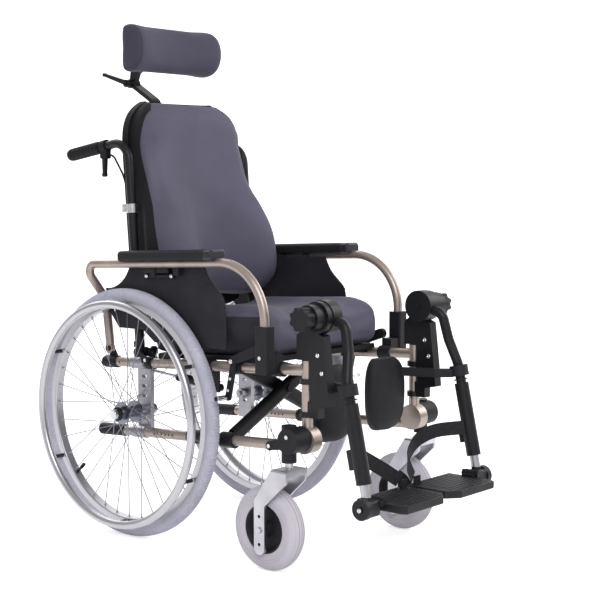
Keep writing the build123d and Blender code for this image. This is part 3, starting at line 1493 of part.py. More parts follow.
def footplate():
    """Ribbed plate with a knuckle on the foot hinge."""
    disc_y = leg_y(disc_z)
    knuckle = 15.5 - free_gap
    plate_front = ahead(toe_reach)
    with BuildPart() as plate:
        with BuildSketch(Plane.XY.offset(plate_top_z - plate_depth)):
            with BuildLine():
                Polyline((footplate_inner_x, ahead(footplate_back + 4)), (footplate_inner_x, plate_front + 26),
                         (footplate_inner_x + 30, plate_front), (footplate_outer_x - 8, plate_front),
                         (footplate_outer_x, plate_front + 14), (footplate_outer_x, ahead(footplate_back)),
                         (footplate_inner_x + 14, ahead(footplate_back)), close=True)
            make_face()
        extrude(amount=plate_depth)
        fillet(plate.edges().group_by(Axis.Z)[0], 5)
        rib_count = 9
        rib_pitch = (toe_reach - footplate_back - 24) / (rib_count - 1)
        with BuildSketch(Plane.XY.offset(plate_top_z)):
            for i in range(rib_count):
                with Locations(((footplate_inner_x + footplate_outer_x) / 2, ahead(footplate_back + 12 + i * rib_pitch))):
                    Rectangle(footplate_outer_x - footplate_inner_x - 40, 3)
        extrude(amount=-1.5, mode=Mode.SUBTRACT)
        with BuildSketch(Plane.XY.offset(plate_top_z - 2)):
            with Locations((footplate_inner_x + 20, ahead(footplate_back + 15))):
                Rectangle(22, 5)
        extrude(amount=22)
        with BuildSketch(Plane.XZ.offset(-disc_y - knuckle)):
            with Locations((foot_hinge_x, foot_hinge_z)):
                Circle(9)
            with Locations((foot_hinge_x - 9, foot_hinge_z - 10)):
                Rectangle(16, 20)
        extrude(amount=2 * knuckle)
        with BuildSketch(Plane.XZ.offset(-disc_y - knuckle - 1)):
            with Locations((foot_hinge_x, foot_hinge_z)):
                Circle(foot_pin_r + running)
        extrude(amount=2 * knuckle + 2, mode=Mode.SUBTRACT)
    return plate.part


strap_route = [
    (leg_x - sleeve_r - 2, leg_y(sleeve_end_z + 68), sleeve_end_z + 68),
    (leg_x - 62, ahead(sleeve_end_ahead - 75), sleeve_end_z + 60),
    (112, ahead(sleeve_end_ahead - 99), sleeve_end_z + 38),
    (52, ahead(sleeve_end_ahead - 83), sleeve_end_z + 2),
    (26, ahead(footplate_back + 10), plate_top_z + 14),
]


def heel_strap():
    """Flat strap from the sleeve round behind the heel to the inner end of the footplate."""
    with BuildPart() as strap:
        with BuildLine() as route:
            FilletPolyline(*strap_route, radius=[24, 30, 24])
        with BuildSketch(Plane(origin=route.line @ 0, x_dir=(0, 0, 1), z_dir=route.line % 0)):
            Rectangle(strap_width, strap_thickness)
        sweep()
    return strap.part


# ================================================================ small frame pieces
def plastic_fittings():
    """Rail end plugs, tipping-lever sleeve, rail sleeve, back hinge, strut bracket and brake bracket."""
    with BuildPart() as fittings:
        with BuildSketch(rail_plane(upper_rail_z, -upper_rail_rear - 4)):
            Circle(rail_r + 0.5)
        extrude(amount=4)
        with BuildSketch(rail_plane(lower_rail_z, -lower_rail_rear - 18)):
            Circle(rail_r + 2.5)
        extrude(amount=88)
        with BuildSketch(rail_plane(lower_rail_z, 174)):
            Circle(rail_r + 4)
        extrude(amount=62)
        with BuildSketch(Plane.XY.offset(rail_z(upper_rail_z, upright_ahead) + upright_rise)):
            with Locations((frame_x, ahead(upright_ahead))):
                Circle(upright_r)
        extrude(amount=0.8)
        with BuildSketch(rail_plane(lower_rail_z, -lower_rail_rear)):
            Circle(rail_r)
        extrude(amount=400, mode=Mode.SUBTRACT)
        add(back_hinge())
        add(strut_bracket())
        add(brake_bracket())
    return fittings.part


def zinc_bolts():
    """Button-head bolts on the outer faces of the frame fittings."""
    housing_face = stem_x + housing_r + 3
    socket_face = arm_x + arm_r + free_gap + socket_wall
    ear_face = back_x + back_r + free_gap + 3.2
    places = (
        (housing_face, ahead(upright_ahead - 3), corner_z + 14),
        (frame_x + corner_width / 2 + 9, ahead(link_ahead), rail_z(lower_rail_z, link_ahead)),
        (socket_face, ahead(arm_front_ahead), rail_z(upper_rail_z, arm_front_ahead) + 30),
        (ear_face, ahead(pivot_ahead + 32), upper_rail_z + 11),
    )
    with BuildPart() as bolts:
        for x, y, z in places:
            add(cross_rod(x, x + 3.4, y, z, 4.6))
    return bolts.part


# ================================================================ write the parts
with BuildPart() as axle_plates:
    add(axle_plate())
    add(axle())
    mirror(about=Plane.YZ)
with BuildPart() as push_grips:
    add(push_grip())
    add(lever_clamp())
    mirror(about=Plane.YZ)
with BuildPart() as tube_bands:
    for band_height in band_heights:
        add(tube_band(band_height))
    add(back_shell.part, mode=Mode.SUBTRACT)
    mirror(about=Plane.YZ)
with BuildPart() as bolted_bars:
    add(cross_bars.part)
    add(cross_bolt.part)

write("side_frames", pair(side_frame()))
write("axle_plates", axle_plates.part)
write("cross_bars", bolted_bars.part)
write("seat_base", seat_base.part)
write("seat_cushion", seat_cushion.part)
write("caster_housings", pair(caster_housing()))
write("armrest_sockets", pair(armrest_brackets()))
write("frame_fittings", pair(plastic_fittings()))
write("frame_bolts", pair(zinc_bolts()))
write("back_tubes", pair(back_frame()))
write("push_grips", push_grips.part)
write("back_cushion", back_cushion.part)
write("back_shell", back_shell.part)
write("tube_bands", tube_bands.part)
write("release_cables", pair(release_cable()))
write("gas_cylinders", pair(gas_cylinder()))
write("gas_rods", pair(gas_rod()))
write("headrest_post", headrest_post.part)
write("headrest_arm", headrest_arm.part)
write("headrest_plate", headrest_plate.part)
write("headrest_pad", headrest_pad.part)
write("headrest_lever", headrest_lever.part)
write_sides("release_lever", release_lever())
write_sides("armrest_tube", armrest_tube())
write_sides("armrest_pad", armrest_pad())
write_sides("skirt_guard", skirt_guard())
write_sides("brake_lever", brake_lever())
write_sides("rear_tyre", rear_tyre())
write_sides("rear_rim", rear_rim())
write_sides("rear_hub", rear_hub())
write_sides("quick_release_button", quick_release_button())
write_sides("caster_fork", caster_fork())
write_sides("caster_tyre", caster_tyre())
write_sides("caster_rim", caster_rim())
write_sides("leg_hanger", leg_hanger())
write_sides("leg_tube", leg_tube())
write_sides("leg_knob", leg_knob())
write_sides("calf_pad", calf_pad())
write_sides("foot_tube", foot_tube())
write_sides("footplate", footplate())
write_sides("heel_strap", heel_strap())
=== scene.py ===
import bmesh
import bpy
import numpy as np
from math import cos, pi, radians, sin, tan
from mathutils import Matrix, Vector


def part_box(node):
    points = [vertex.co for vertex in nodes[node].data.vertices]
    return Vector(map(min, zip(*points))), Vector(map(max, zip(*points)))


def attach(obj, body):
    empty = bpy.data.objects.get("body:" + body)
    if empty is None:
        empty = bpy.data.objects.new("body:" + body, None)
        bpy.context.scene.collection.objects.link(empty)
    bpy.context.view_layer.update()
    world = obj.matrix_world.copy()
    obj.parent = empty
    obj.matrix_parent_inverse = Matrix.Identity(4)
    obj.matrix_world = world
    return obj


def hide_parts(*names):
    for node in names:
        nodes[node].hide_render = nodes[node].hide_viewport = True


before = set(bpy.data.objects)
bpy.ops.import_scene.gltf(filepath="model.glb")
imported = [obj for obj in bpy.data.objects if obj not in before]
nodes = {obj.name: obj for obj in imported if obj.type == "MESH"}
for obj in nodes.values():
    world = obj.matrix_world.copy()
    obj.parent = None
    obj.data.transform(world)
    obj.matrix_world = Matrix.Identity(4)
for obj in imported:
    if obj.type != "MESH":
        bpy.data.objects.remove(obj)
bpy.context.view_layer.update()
scene = bpy.context.scene

MM = 0.001
SIDES = (("left", 1), ("right", -1))

# ------------------------------------------------------------------ places, read from the frame
tyre_low, tyre_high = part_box("rear_tyre_left")
WHEEL_R = (tyre_high.z - tyre_low.z) / 2
AXLE = np.array([(tyre_low.x + tyre_high.x) / 2, (tyre_low.y + tyre_high.y) / 2, WHEEL_R])
AXLE_Y = AXLE[1]
LEAN = radians(4.4)
BACK_FOOT = (AXLE_Y - 8 * MM, 455 * MM)
LEG_SLOPE = radians(12.5)
LEG_FOOT = (AXLE_Y - 715 * MM, 224 * MM)
RAKE = radians(3.0)


def back_line(z):
    """Y of the leaning back tube's line at this height."""
    return BACK_FOOT[0] + (z - BACK_FOOT[1]) * tan(LEAN)


def leg_line(z):
    """Y of the leg tube's line at this height."""
    return LEG_FOOT[0] + (z - LEG_FOOT[1]) * tan(LEG_SLOPE)


def rail_height(z_at_axle, y):
    """Height of a raked rail's centre at this Y."""
    return z_at_axle + (AXLE_Y - y) * tan(RAKE)


# ------------------------------------------------------------------ colour and materials
SRGB_KNEE, SRGB_SLOPE, SRGB_LIFT, SRGB_POWER = 0.04045, 12.92, 0.055, 2.4
SOFT_SPECULAR = 0.3
WAVE_CYCLES = 20
LINE_BLUR = 0.2 * MM


def linear(hex_colour):
    """sRGB hex to linear RGBA."""
    channels = [int(hex_colour[i:i + 2], 16) / 255 for i in (1, 3, 5)]
    return [c / SRGB_SLOPE if c <= SRGB_KNEE else ((c + SRGB_LIFT) / (1 + SRGB_LIFT)) ** SRGB_POWER
            for c in channels] + [1.0]


def shade(hex_colour, factor):
    """The same hue, lighter or darker."""
    r, g, b, a = linear(hex_colour)
    return [min(1.0, r * factor), min(1.0, g * factor), min(1.0, b * factor), a]


def feed(tree, node, inputs):
    """Give a node its inputs: each is a value, or the socket that feeds it."""
    for key, value in inputs.items():
        if isinstance(value, bpy.types.NodeSocket):
            tree.links.new(value, node.inputs[key])
        else:
            node.inputs[key].default_value = value


def put(tree, kind, inputs=None, **settings):
    """Add one node with its inputs; settings are its properties."""
    node = tree.nodes.new(kind)
    for name, value in settings.items():
        setattr(node, name, value)
    feed(tree, node, inputs or {})
    return node


def start(name):
    """An empty node material with a Principled shader and Object coordinates."""
    made = bpy.data.materials.new(name)
    made.use_nodes = True
    tree = made.node_tree
    tree.nodes.clear()
    shader = put(tree, "ShaderNodeBsdfPrincipled")
    output = put(tree, "ShaderNodeOutputMaterial")
    tree.links.new(shader.outputs["BSDF"], output.inputs["Surface"])
    place = put(tree, "ShaderNodeTexCoord").outputs["Object"]
    return made, tree, shader, place


def ramp(tree, source, stops):
    """Colour ramp over a factor: stops are (place, linear colour)."""
    node = put(tree, "ShaderNodeValToRGB", {"Fac": source})
    elements = node.color_ramp.elements
    for element, (place, colour) in zip(elements, stops):
        element.position = place
        element.color = colour
    return node.outputs["Color"]


def clouded(tree, source, hex_colour, dark, light, begin=0.3, end=0.7):
    """A colour that drifts between two shades of itself as a factor goes from begin to end."""
    return ramp(tree, source, [(begin, shade(hex_colour, dark)), (end, shade(hex_colour, light))])


def noise(tree, place, scale, detail, rough=0.5):
    """Factor of a noise texture."""
    return put(tree, "ShaderNodeTexNoise", {"Vector": place, "Scale": scale, "Detail": detail,
                                             "Roughness": rough}).outputs["Fac"]


def cells(tree, place, size_mm):
    """Distance in a Voronoi texture whose cells are about this size."""
    return put(tree, "ShaderNodeTexVoronoi", {"Vector": place,
                                               "Scale": 1 / (size_mm * MM)}).outputs["Distance"]


def calc(tree, operation, *values):
    """Result of one Math node over values or sockets."""
    return put(tree, "ShaderNodeMath", dict(enumerate(values)), operation=operation).outputs["Value"]


def mapped(tree, value, low=0.0, high=1.0, begin=0.0, end=1.0):
    """A value taken from the range low to high into begin to end, and held there."""
    return put(tree, "ShaderNodeMapRange", {"Value": value, "From Min": low, "From Max": high,
                                             "To Min": begin, "To Max": end}).outputs["Result"]


def mixed(tree, factor, colour, other):
    """The first colour at factor 0, the other at 1."""
    return put(tree, "ShaderNodeMix", {"Factor": factor, "A": colour, "B": other},
               data_type="RGBA").outputs["Result"]


def bumped(tree, height, strength, distance_mm):
    """Normals tilted by a height."""
    return put(tree, "ShaderNodeBump", {"Height": height, "Strength": strength,
                                         "Distance": distance_mm * MM}).outputs["Normal"]


def from_middle(tree, place):
    """Distance from the middle plane, so that both sides look the same."""
    split = put(tree, "ShaderNodeSeparateXYZ", {0: place})
    return calc(tree, "ABSOLUTE", split.outputs["X"])


def past_line(tree, place, axis, edge):
    """0 before a place along one axis and 1 past it, changing over twice the blur."""
    split = put(tree, "ShaderNodeSeparateXYZ", {0: place})
    return mapped(tree, split.outputs[axis], edge - LINE_BLUR, edge + LINE_BLUR)


def powder_coat(name, hex_colour, rough, metallic=0.0):
    """Powder-coated steel: an even colour with fine orange peel about 1.5 mm across and a soft sheen."""
    made, tree, shader, place = start(name)
    drift = noise(tree, place, 22.0, 3.0)
    peel = noise(tree, place, 650.0, 2.0)
    feed(tree, shader, {
        "Base Color": clouded(tree, drift, hex_colour, 0.88, 1.1),
        "Roughness": mapped(tree, drift, begin=rough - 0.06, end=rough + 0.08),
        "Normal": bumped(tree, peel, 0.12, 0.4),
        "Metallic": metallic,
        "Coat Weight": 0.25 if metallic else 0.0,
        "Coat Roughness": 0.2,
        "Specular IOR Level": 0.5 if metallic else SOFT_SPECULAR,
    })
    return made


def bare_metal(name, hex_colour, rough, grain_mm, stretch):
    """Bare or anodised metal: brushing or casting grain of this size, drawn out along X."""
    made, tree, shader, place = start(name)
    drawn = put(tree, "ShaderNodeMapping", {"Vector": place, "Scale": (stretch, 1.0, 1.0)})
    grain = noise(tree, drawn.outputs["Vector"], 1 / (grain_mm * MM), 3.0)
    cloud = noise(tree, place, 30.0, 2.0)
    feed(tree, shader, {
        "Base Color": clouded(tree, cloud, hex_colour, 0.9, 1.08),
        "Roughness": mapped(tree, grain, begin=rough - 0.07, end=rough + 0.07),
        "Normal": bumped(tree, grain, 0.08, 0.3),
        "Metallic": 1.0,
    })
    return made


def moulded(name, hex_colour, rough, grain_mm, depth=0.35):
    """Injection-moulded plastic or rubber: a spark-eroded grain and slightly rubbed patches."""
    made, tree, shader, place = start(name)
    patch = noise(tree, place, 14.0, 4.0)
    feed(tree, shader, {
        "Base Color": clouded(tree, patch, hex_colour, 0.82, 1.2, end=0.72),
        "Roughness": mapped(tree, patch, begin=rough + 0.08, end=rough - 0.08),
        "Normal": bumped(tree, cells(tree, place, grain_mm), depth, 0.4),
        "Specular IOR Level": SOFT_SPECULAR,
    })
    return made


def tube_on_moulding(name, metal_hex, plastic_hex, edge):
    """Satin anodised tube above a height, and below it the black moulding that holds the tube."""
    made, tree, shader, place = start(name)
    above = past_line(tree, place, "Z", edge)
    grain = noise(tree, place, 700.0, 3.0)
    feed(tree, shader, {
        "Base Color": mixed(tree, above, linear(plastic_hex), linear(metal_hex)),
        "Metallic": above,
        "Roughness": mapped(tree, above, begin=0.5, end=0.32),
        "Normal": bumped(tree, grain, 0.15, 0.3),
        "Specular IOR Level": SOFT_SPECULAR,
    })
    return made


def rim_on_tabs(name, metal_hex, plastic_hex, near, far):
    """Anodised rim and hand rim; the tabs that join them, this far from the middle, are black."""
    made, tree, shader, place = start(name)
    out = from_middle(tree, place)
    tab = calc(tree, "MULTIPLY", calc(tree, "GREATER_THAN", out, near), calc(tree, "LESS_THAN", out, far))
    grain = noise(tree, place, 600.0, 3.0)
    feed(tree, shader, {
        "Base Color": mixed(tree, tab, linear(metal_hex), linear(plastic_hex)),
        "Metallic": calc(tree, "SUBTRACT", 1.0, tab),
        "Roughness": mapped(tree, grain, begin=0.27, end=0.41),
        "Normal": bumped(tree, grain, 0.08, 0.3),
    })
    return made


def capped_foam(name, foam_hex, cap_with_painted_highlight_hex, edge):
    """Integral-skin foam with its fine pebble, and past a line at its front a smooth moulded end cap,
    coloured lighter as a painted highlight.
    """
    made, tree, shader, place = start(name)
    behind = past_line(tree, place, "Y", edge)
    pebble = calc(tree, "MULTIPLY", cells(tree, place, 1.8), behind)
    feed(tree, shader, {
        # painted highlight: the smooth end cap is coloured lighter than the foam to stand in for its shine
        "Base Color": mixed(tree, behind, linear(cap_with_painted_highlight_hex), linear(foam_hex)),
        "Roughness": mapped(tree, behind, begin=0.32, end=0.66),
        "Normal": bumped(tree, pebble, 0.6, 0.5),
        "Specular IOR Level": 0.35,
    })
    return made


def knit(name, front_hex, side_hex, thread_mm=1.6):
    """Stretch upholstery knit: fine crossed ribs, a seam where the panels meet whose groove carries painted
    shade, fuzz as sheen.
    """
    made, tree, shader, place = start(name)
    seam = put(tree, "ShaderNodeAttribute", attribute_name="seam").outputs["Fac"]
    ribs = [put(tree, "ShaderNodeTexWave", {"Vector": place, "Scale": 2 * pi / (thread_mm * MM) / WAVE_CYCLES,
                                             "Distortion": 1.2, "Detail": 1.0, "Detail Scale": 4.0},
                bands_direction=direction).outputs["Fac"] for direction in ("X", "Z")]
    weave = calc(tree, "MULTIPLY", *ribs)
    drift = noise(tree, place, 9.0, 4.0)
    front = clouded(tree, drift, front_hex, 0.9, 1.1)
    side = clouded(tree, drift, side_hex, 0.85, 1.15)
    panels = mixed(tree, mapped(tree, seam, -0.4 * MM, 0.4 * MM), side, front)
    away = calc(tree, "ABSOLUTE", seam)
    groove = mapped(tree, away, 0.0, 2.5 * MM)
    # painted shade: within 1.8 mm of the seam the colour darkens toward near black, as shade in the seam's
    # groove
    line = mapped(tree, away, 0.0, 1.8 * MM, 0.55, 1.0)
    feed(tree, shader, {
        "Base Color": mixed(tree, line, linear("#0c0c10"), panels),
        "Normal": bumped(tree, calc(tree, "MULTIPLY_ADD", weave, 0.12, groove), 0.5, 1.2),
        "Roughness": 0.82,
        "Specular IOR Level": SOFT_SPECULAR,
        "Sheen Weight": 0.08,
        "Sheen Roughness": 0.45,
    })
    return made


def webbing(name, hex_colour, pitch_mm=1.8):
    """Woven polyamide strap: herringbone ribs across its own width."""
    made, tree, shader, place = start(name)
    flat = put(tree, "ShaderNodeUVMap").outputs["UV"]
    rib = put(tree, "ShaderNodeTexWave", {"Vector": flat, "Scale": 2 * pi / (pitch_mm * MM) / WAVE_CYCLES,
                                           "Distortion": 0.6}, bands_direction="DIAGONAL")
    fuzz = noise(tree, place, 90.0, 3.0)
    feed(tree, shader, {
        "Base Color": clouded(tree, fuzz, hex_colour, 0.8, 1.3, 0.35, 0.65),
        "Normal": bumped(tree, rib.outputs["Fac"], 0.5, 0.6),
        "Roughness": 0.8,
    })
    return made


def speckled_rubber(name, hex_colour, rough):
    """Filled tyre rubber: a pale non-marking compound with dust in its grain."""
    made, tree, shader, place = start(name)
    dust = noise(tree, place, 120.0, 5.0, 0.7)
    both = calc(tree, "MULTIPLY", dust, noise(tree, place, 12.0, 3.0))
    feed(tree, shader, {
        "Base Color": clouded(tree, both, hex_colour, 0.86, 1.08, 0.15, 0.38),
        "Normal": bumped(tree, dust, 0.2, 0.5),
        "Roughness": rough,
        "Specular IOR Level": SOFT_SPECULAR,
    })
    return made


def ribbed_rubber(name, hex_colour, rough, centre, middle_x, crown_r, pitch_mm):
    """Solid caster tyre: smooth sides, and on the crown grooves that run round it, this far apart, darkened
    with painted shade.
    """
    made, tree, shader, place = start(name)
    moved = put(tree, "ShaderNodeMapping", {"Vector": place, "Location": (0, -centre[0], -centre[1]),
                                             "Scale": (0, 1, 1)})
    reach = put(tree, "ShaderNodeVectorMath", {0: moved.outputs["Vector"]}, operation="LENGTH")
    across = calc(tree, "SUBTRACT", from_middle(tree, place), middle_x)
    wave = calc(tree, "COSINE", calc(tree, "MULTIPLY", across, 2 * pi / (pitch_mm * MM)))
    crown = mapped(tree, reach.outputs["Value"], crown_r, crown_r + MM)
    cut = calc(tree, "MULTIPLY", mapped(tree, wave, 0.6, 0.95), crown)
    colour = clouded(tree, noise(tree, place, 14.0, 3.0), hex_colour, 0.94, 1.04)
    feed(tree, shader, {
        # painted shade: the groove colour is the rubber darkened to 0.62, as shade inside the grooves
        "Base Color": mixed(tree, cut, colour, shade(hex_colour, 0.62)),
        "Normal": bumped(tree, cut, -0.6, 1.2),
        "Roughness": rough,
        "Specular IOR Level": SOFT_SPECULAR,
    })
    return made


caster_low, caster_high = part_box("caster_tyre_left")
CASTER_CENTRE = ((caster_low.y + caster_high.y) / 2, (caster_low.z + caster_high.z) / 2)
CASTER_X = (caster_low.x + caster_high.x) / 2
CASTER_CROWN_R = (caster_high.z - caster_low.z) / 2 - 6 * MM
CASTER_GROOVES_MM = 8.0
PAD_CAP_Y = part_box("armrest_pad_left")[0].y + 25 * MM
FOOT_MOULDING_TOP = 198 * MM
TABS_NEAR, TABS_FAR = AXLE[0] + 15 * MM, AXLE[0] + 40 * MM
SILVER, JET, SLATE = "#bcbbc0", "#1a191f", "#5b596a"

champagne = powder_coat("champagne_metallic_lacquer", "#ab9e97", 0.36, 0.75)
black_steel = powder_coat("black_powder_coat", "#17161b", 0.4)
cast_aluminium = bare_metal("tumbled_cast_aluminium", "#a9a8af", 0.42, 1.2, 1.0)
fork_alloy = bare_metal("polished_fork_aluminium", "#bdbbc2", 0.32, 1.2, 1.0)
zinc = bare_metal("zinc_plated_steel", "#cfd0d6", 0.22, 1.0, 1.0)
spoke_steel = bare_metal("spoke_steel", "#83858f", 0.3, 1.0, 1.0)
band_steel = bare_metal("bright_strap_steel", "#dadbe0", 0.25, 1.5, 0.3)
polyamide = moulded("black_glass_filled_polyamide", JET, 0.55, 1.1)
matt_polyamide = moulded("black_matt_polyamide", "#25242b", 0.68, 1.4, 0.5)
shell_moulding = moulded("black_shell_moulding", "#121116", 0.75, 1.2)
calf_foam = moulded("black_leathered_foam", "#1c1b21", 0.6, 2.2, 0.7)
grip_rubber = moulded("black_grip_rubber", "#17161a", 0.7, 1.0, 0.5)
cable_sheath = moulded("black_cable_sheath", "#131216", 0.45, 0.8, 0.2)
# the second, lighter colour is the end cap's painted highlight
arm_foam = capped_foam("black_integral_skin_foam", "#16151a", "#2b2a31", PAD_CAP_Y)
cover = knit("slate_stretch_knit", SLATE, "#16151b")
seat_cover = knit("slate_stretch_knit_seat", SLATE, "#2d2c34")
headrest_cover = knit("slate_stretch_knit_headrest", "#4c4a5a", "#403e4d")
strap_web = webbing("black_polyamide_webbing", "#1c1b20")
tyre_rubber = speckled_rubber("grey_tyre_rubber", "#bebdcd", 0.62)
caster_rubber = ribbed_rubber("warm_grey_caster_rubber", "#cac5cf", 0.6, CASTER_CENTRE, CASTER_X,
                              CASTER_CROWN_R, CASTER_GROOVES_MM)
rim_finish = rim_on_tabs("anodised_rim_with_black_tabs", SILVER, JET, TABS_NEAR, TABS_FAR)
foot_finish = tube_on_moulding("anodised_tube_in_black_hinge", SILVER, JET, FOOT_MOULDING_TOP)

CAD_FINISH = {
    "side_frames": champagne, "armrest_sockets": polyamide, "axle_plates": cast_aluminium,
    "cross_bars": black_steel, "seat_base": polyamide, "caster_housings": polyamide,
    "frame_fittings": polyamide, "frame_bolts": zinc, "back_tubes": black_steel,
    "push_grips": grip_rubber, "back_shell": shell_moulding, "tube_bands": band_steel,
    "release_cables": cable_sheath, "gas_cylinders": black_steel, "gas_rods": zinc,
    "headrest_post": black_steel, "headrest_arm": polyamide, "headrest_plate": polyamide,
    "headrest_lever": polyamide, "back_cushion": cover, "seat_cushion": seat_cover,
    "headrest_pad": headrest_cover,
}
SIDED_FINISH = {
    "release_lever": polyamide, "armrest_tube": champagne, "armrest_pad": arm_foam,
    "skirt_guard": matt_polyamide, "brake_lever": polyamide, "rear_tyre": tyre_rubber,
    "rear_rim": rim_finish, "rear_hub": spoke_steel, "quick_release_button": zinc,
    "caster_fork": fork_alloy, "caster_tyre": caster_rubber, "caster_rim": polyamide,
    "leg_hanger": black_steel, "leg_tube": black_steel, "leg_knob": polyamide,
    "calf_pad": calf_foam, "foot_tube": foot_finish, "footplate": polyamide,
    "heel_strap": strap_web,
}
for stem, finish in SIDED_FINISH.items():
    for side, _ in SIDES:
        CAD_FINISH[f"{stem}_{side}"] = finish
for name, finish in CAD_FINISH.items():
    mesh = nodes[name].data
    mesh.materials.clear()
    mesh.materials.append(finish)


# ------------------------------------------------------------------ making pieces
SAME_POINT = 1e-6
CLOTH_TENSION, CLOTH_BENDING, CLOTH_QUALITY = 12, 2, 4


def finished(name, mesh, body, finish, smooth=True):
    """Put a mesh on the scene as a piece: it rides on a body and takes a material."""
    piece = bpy.data.objects.new(name, mesh)
    scene.collection.objects.link(piece)
    mesh.materials.append(finish)
    mesh.polygons.foreach_set("use_smooth", np.full(len(mesh.polygons), smooth))
    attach(piece, body)
    return piece


def grid_mesh(name, points, around=True, ends=True):
    """Mesh over a grid of points (rows, columns, 3). Columns close on themselves when around is set,
    and each end row is then fanned to its middle. A closed mesh is turned to face outwards."""
    rows, columns, _ = points.shape
    r = np.arange(rows - 1)[:, None]
    c = np.arange(columns if around else columns - 1)[None, :]
    right = (c + 1) % columns
    here, above = r * columns, (r + 1) * columns
    quads = np.stack([here + c, here + right, above + right, above + c], -1)
    corners = points.reshape(-1, 3)
    faces = quads.reshape(-1, 4).tolist()
    if around and ends:
        middles = np.array([points[0].mean(0), points[-1].mean(0)])
        low, high = len(corners), len(corners) + 1
        corners = np.vstack([corners, middles])
        ring = np.arange(columns)
        after = (ring + 1) % columns
        last = (rows - 1) * columns
        faces += np.stack([after, ring, np.full(columns, low)], -1).tolist()
        faces += np.stack([last + ring, last + after, np.full(columns, high)], -1).tolist()
    mesh = bpy.data.meshes.new(name)
    mesh.from_pydata(corners.tolist(), [], faces)
    outward(mesh)
    return mesh


def outward(mesh):
    """Merge doubles and turn the faces outwards."""
    work = bmesh.new()
    work.from_mesh(mesh)
    bmesh.ops.remove_doubles(work, verts=work.verts, dist=SAME_POINT)
    bmesh.ops.recalc_face_normals(work, faces=work.faces)
    work.to_mesh(mesh)
    work.free()


def rounded_path(points, steps=10, share=0.45):
    """Points joined by straight runs, each corner rounded as a quadratic curve over a share of its runs."""
    points = np.asarray(points, float)
    line = [points[0]]
    for before, corner, after in zip(points[:-2], points[1:-1], points[2:]):
        enter = corner + (before - corner) * share
        leave = corner + (after - corner) * share
        t = np.linspace(0, 1, steps)[:, None]
        line.extend((1 - t) ** 2 * enter + 2 * t * (1 - t) * corner + t ** 2 * leave)
    line.append(points[-1])
    return np.array(line)


def carried(path, profile, up):
    """A flat profile (points of across, along-up) carried along a path: at each point its first axis is
    square to the path and to up, its second square to both."""
    path = np.asarray(path, float)
    ahead = np.gradient(path, axis=0)
    ahead /= np.linalg.norm(ahead, axis=1, keepdims=True)
    across = np.cross(ahead, np.asarray(up, float))
    across /= np.linalg.norm(across, axis=1, keepdims=True)
    raised = np.cross(across, ahead)
    profile = np.asarray(profile, float)
    return (path[:, None, :] + across[:, None, :] * profile[None, :, :1]
            + raised[:, None, :] * profile[None, :, 1:2])


def circle(radius, count=16):
    """Points of a circle as (x, y)."""
    turn = np.linspace(0, 2 * pi, count, endpoint=False)
    return np.stack([radius * np.cos(turn), radius * np.sin(turn)], -1)


def turned(name, profile, centre, axis, count=48):
    """A profile of (distance along the axis, radius) turned about a line; its ends close on the axis."""
    profile = np.asarray(profile, float)
    axis = np.asarray(axis, float) / np.linalg.norm(axis)
    side = np.cross(axis, [0, 0, 1.0]) if abs(axis[2]) < 0.9 else np.cross(axis, [1.0, 0, 0])
    side /= np.linalg.norm(side)
    other = np.cross(axis, side)
    turn = np.linspace(0, 2 * pi, count, endpoint=False)
    spoke = np.cos(turn)[:, None] * side + np.sin(turn)[:, None] * other
    points = (np.asarray(centre, float) + profile[:, None, :1] * axis
              + profile[:, None, 1:2] * spoke[None, :, :])
    return grid_mesh(name, points)


def joined(name, meshes):
    """Several meshes as one."""
    work = bmesh.new()
    for mesh in meshes:
        work.from_mesh(mesh)
        bpy.data.meshes.remove(mesh)
    made = bpy.data.meshes.new(name)
    work.to_mesh(made)
    work.free()
    return made


def mirrored(mesh, s):
    """The mesh as it is on the left, or reflected in the middle plane for the right."""
    if s > 0:
        return mesh
    count = len(mesh.vertices)
    co = np.empty(count * 3)
    mesh.vertices.foreach_get("co", co)
    co[0::3] *= -1
    mesh.vertices.foreach_set("co", co)
    mesh.flip_normals()
    mesh.update()
    return mesh


def smoothed(x, xs, ys):
    """A value that runs smoothly through stations: cubic Hermite with averaged slopes."""
    xs, ys, x = np.asarray(xs, float), np.asarray(ys, float), np.clip(x, xs[0], xs[-1])
    slopes = np.gradient(ys, xs)
    i = np.clip(np.searchsorted(xs, x) - 1, 0, len(xs) - 2)
    h = xs[i + 1] - xs[i]
    t = (x - xs[i]) / h
    return ((2 * t ** 3 - 3 * t ** 2 + 1) * ys[i] + (t ** 3 - 2 * t ** 2 + t) * h * slopes[i]
            + (3 * t ** 2 - 2 * t ** 3) * ys[i + 1] + (t ** 3 - t ** 2) * h * slopes[i + 1])


